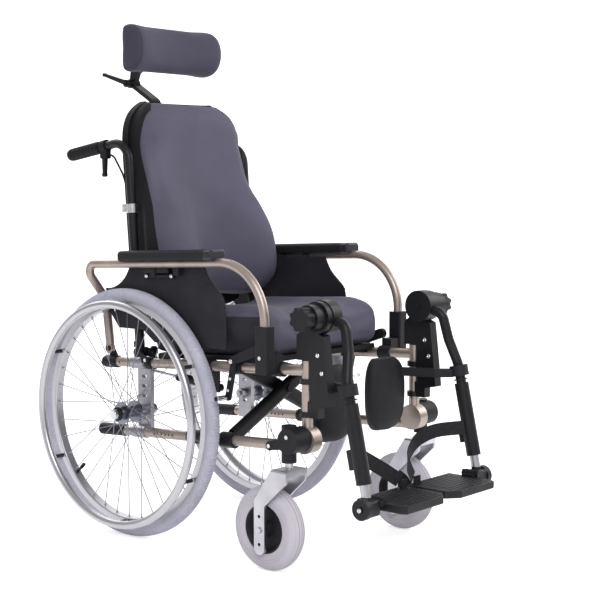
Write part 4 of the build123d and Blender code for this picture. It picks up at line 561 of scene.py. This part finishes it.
def stuffed(piece, voxel, pressure, cap, steps=16):
    """Blow a closed shape up as sewn cloth: remesh, Cloth with pressure and no gravity, then keep every
    point within cap of where it began."""
    bpy.context.view_layer.objects.active = piece
    remesh = piece.modifiers.new("even", "REMESH")
    remesh.mode = "VOXEL"
    remesh.voxel_size = voxel
    bpy.ops.object.modifier_apply(modifier=remesh.name)
    count = len(piece.data.vertices)
    began = np.empty(count * 3)
    piece.data.vertices.foreach_get("co", began)
    cloth = piece.modifiers.new("fill", "CLOTH")
    settings = cloth.settings
    settings.use_pressure = True
    settings.uniform_pressure_force = pressure
    settings.tension_stiffness = CLOTH_TENSION
    settings.bending_stiffness = CLOTH_BENDING
    settings.quality = CLOTH_QUALITY
    settings.effector_weights.gravity = 0
    cloth.point_cache.frame_end = steps
    for step in range(1, steps + 1):
        scene.frame_set(step)
    bpy.ops.object.modifier_apply(modifier=cloth.name)
    scene.frame_set(1)
    ended = np.empty(count * 3)
    piece.data.vertices.foreach_get("co", ended)
    move = (ended - began).reshape(-1, 3)
    size = np.linalg.norm(move, axis=1, keepdims=True)
    move *= np.minimum(1, cap / np.maximum(size, 1e-9))
    piece.data.vertices.foreach_set("co", (began.reshape(-1, 3) + move).ravel())
    soften = piece.modifiers.new("soften", "CORRECTIVE_SMOOTH")
    soften.factor = 0.5
    soften.iterations = 4
    soften.rest_source = "ORCO"
    soften.use_only_smooth = True
    bpy.ops.object.modifier_apply(modifier=soften.name)
    finer = piece.modifiers.new("finer", "SUBSURF")
    finer.levels = finer.render_levels = 1
    bpy.ops.object.modifier_apply(modifier=finer.name)
    piece.data.polygons.foreach_set("use_smooth", np.full(len(piece.data.polygons), True))


def points_of(mesh):
    """The mesh's points as an array of rows."""
    co = np.empty(len(mesh.vertices) * 3)
    mesh.vertices.foreach_get("co", co)
    return co.reshape(-1, 3)


def mark_seam(piece, distance):
    """Keep on each point its signed distance from the seam between the panels, in metres."""
    attribute = piece.data.attributes.new("seam", "FLOAT", "POINT")
    attribute.data.foreach_set("value", distance.astype(np.float32))


# ------------------------------------------------------------------ cushions
BACK_Z = np.array([588, 630, 700, 760, 820, 880, 960, 1020, 1062, 1088]) * MM
BACK_HALF = np.array([176, 185, 185, 185, 185, 185, 186, 180, 158, 124]) * MM
BACK_SEAM = np.array([8, 10, 12, 14, 16, 22, 23, 12, 4, 2]) * MM
BACK_SIDE_REAR = np.array([34, 38, 38, 38, 38, 38, 38, 38, 38, 40]) * MM
BACK_CENTRE_REAR = np.array([62, 80, 84, 85, 85, 85, 85, 82, 74, 60]) * MM
BACK_CORNER = np.array([-60, -86, -82, -72, -60, -44, -31, -26, -12, 8]) * MM
BACK_PEAK = np.array([-84, -112, -124, -113, -86, -52, -36, -32, -20, 2]) * MM
BACK_FLARE = np.array([12, 17, 19, 18, 13, 6, 0, 0, 0, 0]) * MM
BACK_CENTRE = np.array([-44, -54, -58, -54, -46, -36, -30, -27, -18, 2]) * MM
FLARE_AHEAD = 0.6
BOLSTER = 42 * MM
CLOTH_CELL, CLOTH_PRESSURE, CLOTH_CAP = 6 * MM, 4.0, 7 * MM
COVER_INSET = 6 * MM


def back_outline(z, inset):
    """Outline of the back cushion at one height, from the rear middle round by the left side to the front
    and back by the right: a rear arc, flat sides, a rounded bolster and a hollow between the bolsters."""
    half = smoothed(z, BACK_Z, BACK_HALF) - inset
    side_rear = smoothed(z, BACK_Z, BACK_SIDE_REAR) - inset
    centre_rear = smoothed(z, BACK_Z, BACK_CENTRE_REAR) - inset
    corner = smoothed(z, BACK_Z, BACK_CORNER) + inset
    flare = smoothed(z, BACK_Z, BACK_FLARE)
    peak = smoothed(z, BACK_Z, BACK_PEAK) + inset - FLARE_AHEAD * flare
    centre = smoothed(z, BACK_Z, BACK_CENTRE) + inset
    t = np.linspace(0, 1, 14)
    rear = np.stack([half * t, centre_rear + (side_rear - centre_rear) * t ** 2], -1)
    corner -= FLARE_AHEAD * flare
    along = np.linspace(side_rear, corner, 14)[1:-1]
    spread = np.clip((-16 * MM - along) / (30 * MM), 0, 1)
    side = np.stack([half + flare * spread ** 2 * (3 - 2 * spread), along], -1)
    bow = np.linspace(0, pi / 2, 9)
    wide = half + flare
    bolster = np.stack([wide - BOLSTER + BOLSTER * np.cos(bow), corner + (peak - corner) * np.sin(bow)], -1)
    u = np.linspace(1, 0, 18)[1:]
    rise = (0.5 - 0.5 * np.cos(pi * u)) ** 1.2
    hollow = np.stack([(wide - BOLSTER) * u, centre + (peak - centre) * rise], -1)
    left = np.vstack([rear, side, bolster, hollow])
    right = left[1:-1][::-1] * [-1, 1]
    return np.vstack([left, right])


def back_cushion_piece():
    """Contoured backrest: side bolsters that fade above the elbows, and a rounded top."""
    heights = np.concatenate([np.linspace(588, 1066, 60), [1074, 1081]]) * MM
    rows = []
    for z in heights:
        outline = back_outline(z, COVER_INSET)
        low = np.clip((z - 582 * MM) / (26 * MM), 0, 1)
        x, y = (outline * (1 - 0.06 * (1 - low) ** 2)).T
        rows.append(np.stack([x, back_line(z) + y, np.full(len(outline), z)], -1))
    mesh = grid_mesh("back_cushion_cover", np.array(rows))
    piece = finished("back_cushion_cover", mesh, "back", cover)
    stuffed(piece, CLOTH_CELL, CLOTH_PRESSURE, CLOTH_CAP)
    co = points_of(piece.data)
    z = co[:, 2]
    flare = smoothed(z, BACK_Z, BACK_FLARE)
    corner = back_line(z) + smoothed(z, BACK_Z, BACK_CORNER)
    edge = corner + smoothed(z, BACK_Z, BACK_SEAM) - FLARE_AHEAD * flare
    outer = smoothed(z, BACK_Z, BACK_HALF) + flare - 30 * MM
    behind = co[:, 1] - back_line(z)
    inner = np.where(behind < 20 * MM, outer - np.abs(co[:, 0]), -1)
    mark_seam(piece, np.maximum(edge - co[:, 1], inner))
    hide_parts("back_cushion")


SEAT_REAR, SEAT_FRONT = 34 * MM, 446 * MM
SEAT_HALF = 204 * MM
SEAT_TOP = 112 * MM
SEAT_BASE = 24.5 * MM
SEAT_RAIL_Z = 428 * MM
SEAT_SHOULDER = 16 * MM


def seat_cushion_piece():
    """Seat cushion: a box of foam with drawn-in sides, side bolsters, a hollow for the thighs and a
    rounded front edge. Rows run from the rear to the front, columns round the section."""
    rows = []
    inset = COVER_INSET
    for t in np.linspace(0, 1, 54):
        ahead = SEAT_REAR + inset + (SEAT_FRONT - SEAT_REAR - 2 * inset) * t
        front = np.clip((t - 0.82) / 0.18, 0, 1)
        rear = np.clip((0.1 - t) / 0.1, 0, 1)
        half = SEAT_HALF - inset - 8 * MM * rear ** 2 - 9 * MM * front ** 3
        top = SEAT_BASE + SEAT_TOP - inset - 14 * MM * rear ** 2 - 20 * MM * front ** 2.5
        low = SEAT_BASE + inset + 6 * MM * front ** 3
        up = np.linspace(0, 1, 12)
        side = np.stack([half + 5 * MM * np.sin(pi * up), low + (top - 8 * MM - low) * up], -1)
        bow = np.linspace(0, pi / 2, 7)[1:]
        flat = half - SEAT_SHOULDER
        shoulder = np.stack([flat + SEAT_SHOULDER * np.cos(bow), top - 8 * MM + 12 * MM * np.sin(bow)], -1)
        u = np.linspace(1, 0, 20)[1:]
        ridge = 8 * MM * (1 - front) * np.exp(-((u - 0.82) / 0.13) ** 2) * (1 - rear)
        hollow = np.stack([flat * u, top + 4 * MM - 12 * MM * (1 - u ** 4) + ridge], -1)
        left = np.vstack([side, shoulder, hollow])
        bottom = np.stack([np.linspace(0, half, 10)[:-1], np.full(9, low)], -1)
        left = np.vstack([bottom, left])
        right = left[1:-1][::-1] * [-1, 1]
        ring = np.vstack([left, right])
        y = AXLE_Y - ahead
        z = rail_height(SEAT_RAIL_Z, y) + ring[:, 1]
        rows.append(np.stack([ring[:, 0], np.full(len(ring), y), z], -1))
    mesh = grid_mesh("seat_cushion_cover", np.array(rows))
    piece = finished("seat_cushion_cover", mesh, "frame", seat_cover)
    stuffed(piece, CLOTH_CELL, CLOTH_PRESSURE, CLOTH_CAP)
    co = points_of(piece.data)
    above = co[:, 2] - rail_height(SEAT_RAIL_Z, co[:, 1]) - SEAT_BASE - SEAT_TOP + 20 * MM
    before = AXLE_Y - co[:, 1] - SEAT_FRONT + 30 * MM
    mark_seam(piece, np.maximum(np.maximum(above, before), SEAT_HALF - 30 * MM - np.abs(co[:, 0])))
    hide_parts("seat_cushion")


def headrest_piece():
    """Headrest: sections from the left end to the right. Behind, each is a tall soft-cornered block, and in
    front an ellipse that reaches furthest at the two side wings; the ends are drawn in to round them."""
    low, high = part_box("headrest_pad")
    half = (high.x - low.x) / 2
    middle_z = (low.z + high.z) / 2
    inset = 4 * MM
    wing = high.y - low.y - inset
    rows = []
    full = 0.88
    ends = np.array([0.93, 0.965, 0.99, 1])
    columns = 64
    for t in np.concatenate([-ends[::-1], np.linspace(-full, full, 34), ends]):
        drawn = 11 * MM * (1 - np.sqrt(1 - np.clip((abs(t) - full) / (1 - full), 0, 1) ** 2))
        tall = (high.z - low.z) / 2 - inset - drawn
        reach = wing * (0.63 + 0.37 * np.clip(abs(t) / 0.86, 0, 1) ** 2.4) - drawn
        split = 20 * MM
        turn = np.linspace(0, 2 * pi, columns, endpoint=False)
        c, d = np.cos(turn), np.sin(turn)
        front = c > 0
        z = middle_z + tall * np.sign(d) * np.abs(d) ** np.where(front, 0.92, 0.42)
        y = np.where(front, -(reach - split) * np.abs(c) ** 0.86, (split - drawn) * np.abs(c) ** 0.42)
        rows.append(np.stack([np.full(columns, t * (half - inset)), high.y - inset - split + y, z], -1))
    mesh = grid_mesh("headrest_cover", np.array(rows))
    piece = finished("headrest_cover", mesh, "headrest", headrest_cover)
    stuffed(piece, 5 * MM, 3.0, 4 * MM)
    co = points_of(piece.data)
    mark_seam(piece, half - 13 * MM - np.abs(co[:, 0]))
    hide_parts("headrest_pad")


back_cushion_piece()
seat_cushion_piece()
headrest_piece()


# ------------------------------------------------------------------ wheels
TYRE_R = 17 * MM
TREAD_BLOCKS, STEPS_PER_BLOCK = 240, 5
CROSS_GROOVE, CENTRE_GROOVE = 1.6 * MM, 0.9 * MM
SPOKES = 36
NIPPLE_R, VALVE_R = 262 * MM, 264 * MM
VALVE_ANGLE = radians(-42)
NIPPLE = np.array([(0, 1.6), (0, 2.2), (-9, 1.8), (-9, 1.0)]) * MM
VALVE = np.array([(0, 1), (0, 4.4), (-4, 3.6), (-22, 3.4), (-22, 4.8), (-36, 4.6), (-38, 3)]) * MM
CAP_RING = np.array([(-4, 13.4), (-4, 17), (1.4, 17), (2.6, 16), (2.6, 13.4)]) * MM


def on_wheel(s, angle, radius):
    """A point in a rear wheel's own plane, and the direction from the axle to it."""
    out = np.array([0, cos(angle), sin(angle)])
    return np.array([s * AXLE[0], AXLE_Y, WHEEL_R]) + out * radius, out


def rear_tyre_piece(side, s):
    """Pneumatic tyre: a torus whose crown carries blocks about 8 mm long, cut by cross grooves and a centre
    groove. Rows run round the wheel, columns round the section."""
    ring_r = WHEEL_R - TYRE_R
    count = TREAD_BLOCKS * STEPS_PER_BLOCK
    turn = np.linspace(0, 2 * pi, count, endpoint=False)[:, None]
    roll = np.linspace(0, 2 * pi, 28, endpoint=False)[None, :]
    crown = np.clip((np.cos(roll) - 0.45) / 0.2, 0, 1)
    beat = (np.arange(count) % STEPS_PER_BLOCK)[:, None]
    cross = np.where(beat == 0, 1.0, 0.0)
    centre = np.exp(-(np.sin(roll) / 0.12) ** 2) * crown
    section = TYRE_R - CROSS_GROOVE * crown * cross - CENTRE_GROOVE * centre
    radius = ring_r + section * np.cos(roll)
    points = np.stack([s * AXLE[0] + section * np.sin(roll) * np.ones_like(turn),
                       AXLE_Y + radius * np.cos(turn), WHEEL_R + radius * np.sin(turn)], -1)
    points = np.concatenate([points, points[:1]], 0)
    mesh = grid_mesh(f"rear_tyre_tread_{side}", points, ends=False)
    piece = finished(f"rear_tyre_tread_{side}", mesh, f"rear_wheel_{side}", tyre_rubber)
    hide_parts(f"rear_tyre_{side}")


def spoke_nipples(side, s):
    """Small turned nipples where the spokes meet the rim."""
    parts = []
    for i in range(SPOKES):
        foot, out = on_wheel(s, 2 * pi * i / SPOKES, NIPPLE_R)
        parts.append(turned("nipple", NIPPLE, foot, out, 8))
    finished(f"spoke_nipples_{side}", joined("nipples", parts), f"rear_wheel_{side}", zinc)


def dust_cap(side, s):
    """Black ring pressed on the hub's outer face, round the quick-release button."""
    outer_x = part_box("rear_hub_left")[1].x
    turn = np.linspace(0, 2 * pi, 49)[:, None]
    x, r = CAP_RING[None, :, 0] * np.ones_like(turn), CAP_RING[None, :, 1]
    points = np.stack([s * (outer_x + x), AXLE_Y + r * np.cos(turn), WHEEL_R + r * np.sin(turn)], -1)
    mesh = grid_mesh(f"hub_cap_{side}", points, ends=False)
    finished(f"hub_cap_{side}", mesh, f"rear_wheel_{side}", polyamide, smooth=False)


def tyre_valve(side, s):
    """Rubber-covered valve with its cap, turned, pointing from the rim to the axle."""
    foot, out = on_wheel(s, VALVE_ANGLE, VALVE_R)
    mesh = turned("valve", VALVE, foot, out, 14)
    finished(f"tyre_valve_{side}", mesh, f"rear_wheel_{side}", grip_rubber)


for side, s in SIDES:
    rear_tyre_piece(side, s)
    spoke_nipples(side, s)
    tyre_valve(side, s)
    dust_cap(side, s)


# ------------------------------------------------------------------ heel straps
STRAP_ROUTE = np.array([(195, 0, 292), (152, -640, 284), (112, -616, 262), (52, -632, 226),
                        (26, -672, 196)]) * MM
STRAP_HALF_WIDTH, STRAP_HALF_THICKNESS = 16.5 * MM, 1.1 * MM


def heel_strap_piece(side, s):
    """Flat webbing carried along its route with the strap on edge, behind the heel."""
    route = STRAP_ROUTE.copy()
    route[0, 1] = leg_line(route[0, 2]) - AXLE_Y
    route[:, 1] += AXLE_Y
    path = rounded_path(route, 12)
    w, t = STRAP_HALF_WIDTH, STRAP_HALF_THICKNESS
    corner = np.array([(-t, -w), (t, -w), (t, w), (-t, w)])
    profile = np.concatenate([np.linspace(corner[i], corner[(i + 1) % 4], 6, endpoint=False)
                              for i in range(4)])
    points = carried(path, profile, (0, 0, 1))
    mesh = grid_mesh(f"heel_webbing_{side}", points)
    uv = mesh.uv_layers.new(name="UVMap")
    co = points_of(mesh)
    loops = np.empty(len(mesh.loops), int)
    mesh.loops.foreach_get("vertex_index", loops)
    uv.data.foreach_set("uv", co[loops][:, [0, 2]].ravel())
    mirrored(mesh, s)
    piece = finished(f"heel_webbing_{side}", mesh, f"foot_{side}", strap_web, smooth=False)
    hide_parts(f"heel_strap_{side}")


for side, s in SIDES:
    heel_strap_piece(side, s)


# ------------------------------------------------------------------ fasteners and small fittings
BOLT_SHAPE = np.array([(0, 0.3), (0, 1), (0.35, 1), (0.62, 0.8), (0.7, 0.52), (0.7, 0.42), (0.3, 0.38),
                       (0.28, 0.1)])
CLAMP_BLOCK = ((232, 52, 664), (232, 138, 668), 15 * MM, 20 * MM, 3 * MM)
CLAMP_BAR = ((230, 54, 647), (230, 152, 651), 9 * MM, 9 * MM, 2 * MM)
CLAMP_BOLTS = ((234.5, 60, 647.5), (234.5, 146, 651))
CLAMP_BOLT_R = 5.2
BEAD_X = 224
BEAD_ROUTE = ((244, 680), (262, 646), (290, 622), (310, 604), (315, 545), (316, 492))
BEAD_R = 2.1 * MM
HANGER_FACES = ((215.4, 1), (190.1, -1))
HANGER_BOLTS = ((586, 494), (598, 455))
HANGER_BOLT_R = 5.6
FOOT_BOLT = (243.8, 725.9, 174)
BRAKE_BOLTS = ((233.9, 340, 462, 6.0), (226.9, 331, 420, 4.4), (226.9, 324, 392, 4.4))
SLEEVE_FOOT = (228.5, 322, 376)
SLEEVE_SHAPE = np.array([(0, 3), (0, 5.4), (0.8, 6.2), (35, 6.2), (35.8, 5.4), (35.8, 3)]) * MM
TAB_X, TAB_Z = 213 * MM, 811 * MM
TAB_BOLT_R = 4.2
LIP_Z, LIP_TOP_Z, LIP_HALF = 546, 598 * MM, 194 * MM


def place_ahead(x, ahead, z):
    """A point from its distances in millimetres: across, ahead of the rear axle, and up."""
    return np.array([x * MM, AXLE_Y - ahead * MM, z * MM])


def bolt_heads(name, body, heads):
    """Button-head bolts, each (centre, axis, radius): a domed rim turned round a sunk socket."""
    parts = []
    for centre, axis, radius in heads:
        parts.append(turned("head", BOLT_SHAPE * radius * MM, centre, axis, 18))
    finished(name, joined(name, parts), body, zinc)


def rounded_bar(name, begin, end, across, tall, corner):
    """A bar between two points: a superellipse section, drawn in over the corner radius at both ends."""
    square = 0.35
    begin, end = np.asarray(begin, float), np.asarray(end, float)
    length = np.linalg.norm(end - begin)
    turn = np.linspace(0, pi / 2, 5)
    near = corner * (1 - np.cos(turn))
    drawn = corner * (1 - np.sin(turn))
    stations = np.concatenate([near, (length - near)[::-1]])
    drawn = np.concatenate([drawn, drawn[::-1]])
    ahead = (end - begin) / length
    side = np.cross(ahead, [0, 0, 1.0])
    side /= np.linalg.norm(side)
    raised = np.cross(side, ahead)
    round_turn = np.linspace(0, 2 * pi, 28, endpoint=False)
    c, d = np.cos(round_turn), np.sin(round_turn)
    c, d = np.sign(c) * np.abs(c) ** square, np.sign(d) * np.abs(d) ** square
    points = (begin + stations[:, None, None] * ahead
              + (across / 2 - drawn)[:, None, None] * c[:, None] * side
              + (tall / 2 - drawn)[:, None, None] * d[:, None] * raised)
    return grid_mesh(name, points)


def guard_fittings(side, s):
    """Clamp block under the armrest tube, the bar that draws it tight, and the bead on the guard's front."""
    body = f"armrest_{side}"
    bars = []
    for name, (begin, end, across, tall, corner) in (("block", CLAMP_BLOCK), ("bar", CLAMP_BAR)):
        ends = [place_ahead(s * x, ahead, z) for x, ahead, z in (begin, end)]
        bars.append(rounded_bar(name, *ends, across, tall, corner))
    finished(f"guard_clamp_{side}", joined("clamp", bars), body, polyamide)
    bolt_heads(f"guard_bolts_{side}", body, [(place_ahead(s * x, ahead, z), (s, 0, 0), CLAMP_BOLT_R)
                                             for x, ahead, z in CLAMP_BOLTS])
    path = rounded_path([place_ahead(s * BEAD_X, ahead, z) for ahead, z in BEAD_ROUTE], 8)
    bead = grid_mesh("bead", carried(path, circle(BEAD_R, 10), (1, 0, 0)))
    finished(f"guard_bead_{side}", bead, body, matt_polyamide)


def leg_bolts(side, s):
    """Bolts through the hanger, on the foot hinge and on the brake."""
    outer = (s, 0, 0)
    bolt_heads(f"hanger_bolts_{side}", f"leg_hanger_{side}",
               [(place_ahead(s * x, ahead, z), (s * facing, 0, 0), HANGER_BOLT_R)
                for x, facing in HANGER_FACES for ahead, z in HANGER_BOLTS])
    x, ahead, z = FOOT_BOLT
    bolt_heads(f"foot_bolts_{side}", f"foot_{side}", [(place_ahead(s * x, ahead, z), outer, HANGER_BOLT_R)])
    bolt_heads(f"brake_bolts_{side}", f"brake_{side}", [(place_ahead(s * x, ahead, z), outer, radius)
                                                        for x, ahead, z, radius in BRAKE_BOLTS])


def brake_sleeves(side, s):
    """Bright sleeve on the brake's pressing peg, with its ends chamfered."""
    x, ahead, z = SLEEVE_FOOT
    mesh = turned("sleeve", SLEEVE_SHAPE, place_ahead(s * x, ahead, z), (s, 0, 0), 32)
    finished(f"brake_sleeve_{side}", mesh, f"brake_{side}", zinc)


def band_tabs(side, s):
    """Tab behind the upper clamp band, drawn together by one bolt. The lower band has none, to clear the
    armrest when the back reclines."""
    x, y = s * TAB_X, back_line(TAB_Z)
    tab = rounded_bar("tab", (x, y + 9 * MM, TAB_Z), (x, y + 29 * MM, TAB_Z), 5 * MM, 22 * MM, 2 * MM)
    finished(f"band_tabs_{side}", tab, "back", band_steel)
    head = np.array([x + s * 2.4 * MM, y + 22 * MM, TAB_Z])
    bolt_heads(f"band_bolts_{side}", "back", [(head, (s, 0, 0), TAB_BOLT_R)])


def back_apron():
    """Lower lip of the back shell: a thin curved plate that closes the view between back and seat. Its
    middle bows to the rear as a parabola and its lower corners are rounded by an eighth power."""
    rows = []
    for t in np.linspace(-1, 1, 41):
        low = (LIP_Z + 20 * t ** 8) * MM
        z = np.concatenate([np.linspace(low, LIP_TOP_Z, 8), np.linspace(LIP_TOP_Z, low, 8)])
        behind = np.concatenate([np.full(8, 0.0), np.full(8, 3 * MM)])
        y = back_line(z) + (62 - 28 * t ** 2) * MM + behind
        rows.append(np.stack([np.full(16, t * LIP_HALF), y, z], -1))
    finished("back_shell_lip", grid_mesh("lip", np.array(rows)), "back", shell_moulding)


back_apron()
for side, s in SIDES:
    guard_fittings(side, s)
    leg_bolts(side, s)
    brake_sleeves(side, s)
    band_tabs(side, s)


# ------------------------------------------------------------------ floor, light and camera
SOFTBOXES = (((-2.6, -3.0, 3.2), 2.6, 98), ((3.4, -1.8, 2.6), 2.4, 60), ((0.5, 3.0, 3.4), 2.4, 50))
PAPER_TURN = radians(-49)
PAPER_GLOW = 0.55
LENS, SENSOR = 81.55, 36.0
CAMERA_PLACE = (-2.4974, -2.4888 + AXLE_Y, 0.8654)
CAMERA_AIM = Vector((0.175, -0.2 + AXLE_Y, 0.571))


def studio():
    """Pale floor that curves up into a backdrop, three soft lamps and a white world."""
    span = np.linspace(-6, 6, 13)
    run = np.array([-6, -3, 0, 2, 3, 3.6, 4.0, 4.2, 4.25])
    rise = np.array([0, 0, 0, 0, 0.08, 0.4, 1.0, 2.0, 5.0])
    points = np.stack(np.broadcast_arrays(span[None, :], (run - 0.3)[:, None], rise[:, None]), -1).reshape(
        len(run), len(span), 3)
    x, y = points[..., 0].copy(), points[..., 1].copy()
    points[..., 0] = x * cos(PAPER_TURN) - y * sin(PAPER_TURN)
    points[..., 1] = x * sin(PAPER_TURN) + y * cos(PAPER_TURN)
    mesh = grid_mesh("studio_floor", points, around=False)
    floor = bpy.data.objects.new("studio_floor", mesh)
    scene.collection.objects.link(floor)
    made, tree, shader, _ = start("studio_paper")
    feed(tree, shader, {"Base Color": linear("#f4f4f4"), "Roughness": 0.9})
    path = put(tree, "ShaderNodeLightPath").outputs
    seen = calc(tree, "MAXIMUM", path["Is Camera Ray"], path["Is Glossy Ray"])
    glow = put(tree, "ShaderNodeEmission", {"Color": (1, 1, 1, 1), "Strength": PAPER_GLOW})
    both = put(tree, "ShaderNodeAddShader", {0: shader.outputs["BSDF"], 1: glow.outputs["Emission"]})
    pick = put(tree, "ShaderNodeMixShader", {0: seen, 1: shader.outputs["BSDF"], 2: both.outputs["Shader"]})
    output = [n for n in tree.nodes if n.type == "OUTPUT_MATERIAL"][0]
    tree.links.new(pick.outputs["Shader"], output.inputs["Surface"])
    mesh.materials.append(made)
    world = bpy.data.worlds.new("white_studio")
    world.use_nodes = True
    background = world.node_tree.nodes["Background"]
    background.inputs["Color"].default_value = (1, 1, 1, 1)
    background.inputs["Strength"].default_value = PAPER_GLOW
    scene.world = world
    for place, size, power in SOFTBOXES:
        lamp = bpy.data.lights.new("softbox", "AREA")
        lamp.size = size
        lamp.energy = power
        holder = bpy.data.objects.new("softbox", lamp)
        holder.location = place
        holder.rotation_euler = (Vector((0, 0, 0.6)) - Vector(place)).to_track_quat("-Z", "Y").to_euler()
        scene.collection.objects.link(holder)


def photo_camera():
    """The photograph's own viewing angle and lens."""
    data = bpy.data.cameras.new("photo_camera")
    data.sensor_width = SENSOR
    data.lens = LENS
    camera = bpy.data.objects.new("photo_camera", data)
    camera.location = CAMERA_PLACE
    camera.rotation_euler = (CAMERA_AIM - camera.location).to_track_quat("-Z", "Y").to_euler()
    scene.collection.objects.link(camera)
    scene.camera = camera


studio()
photo_camera()
scene.view_settings.view_transform = "Standard"
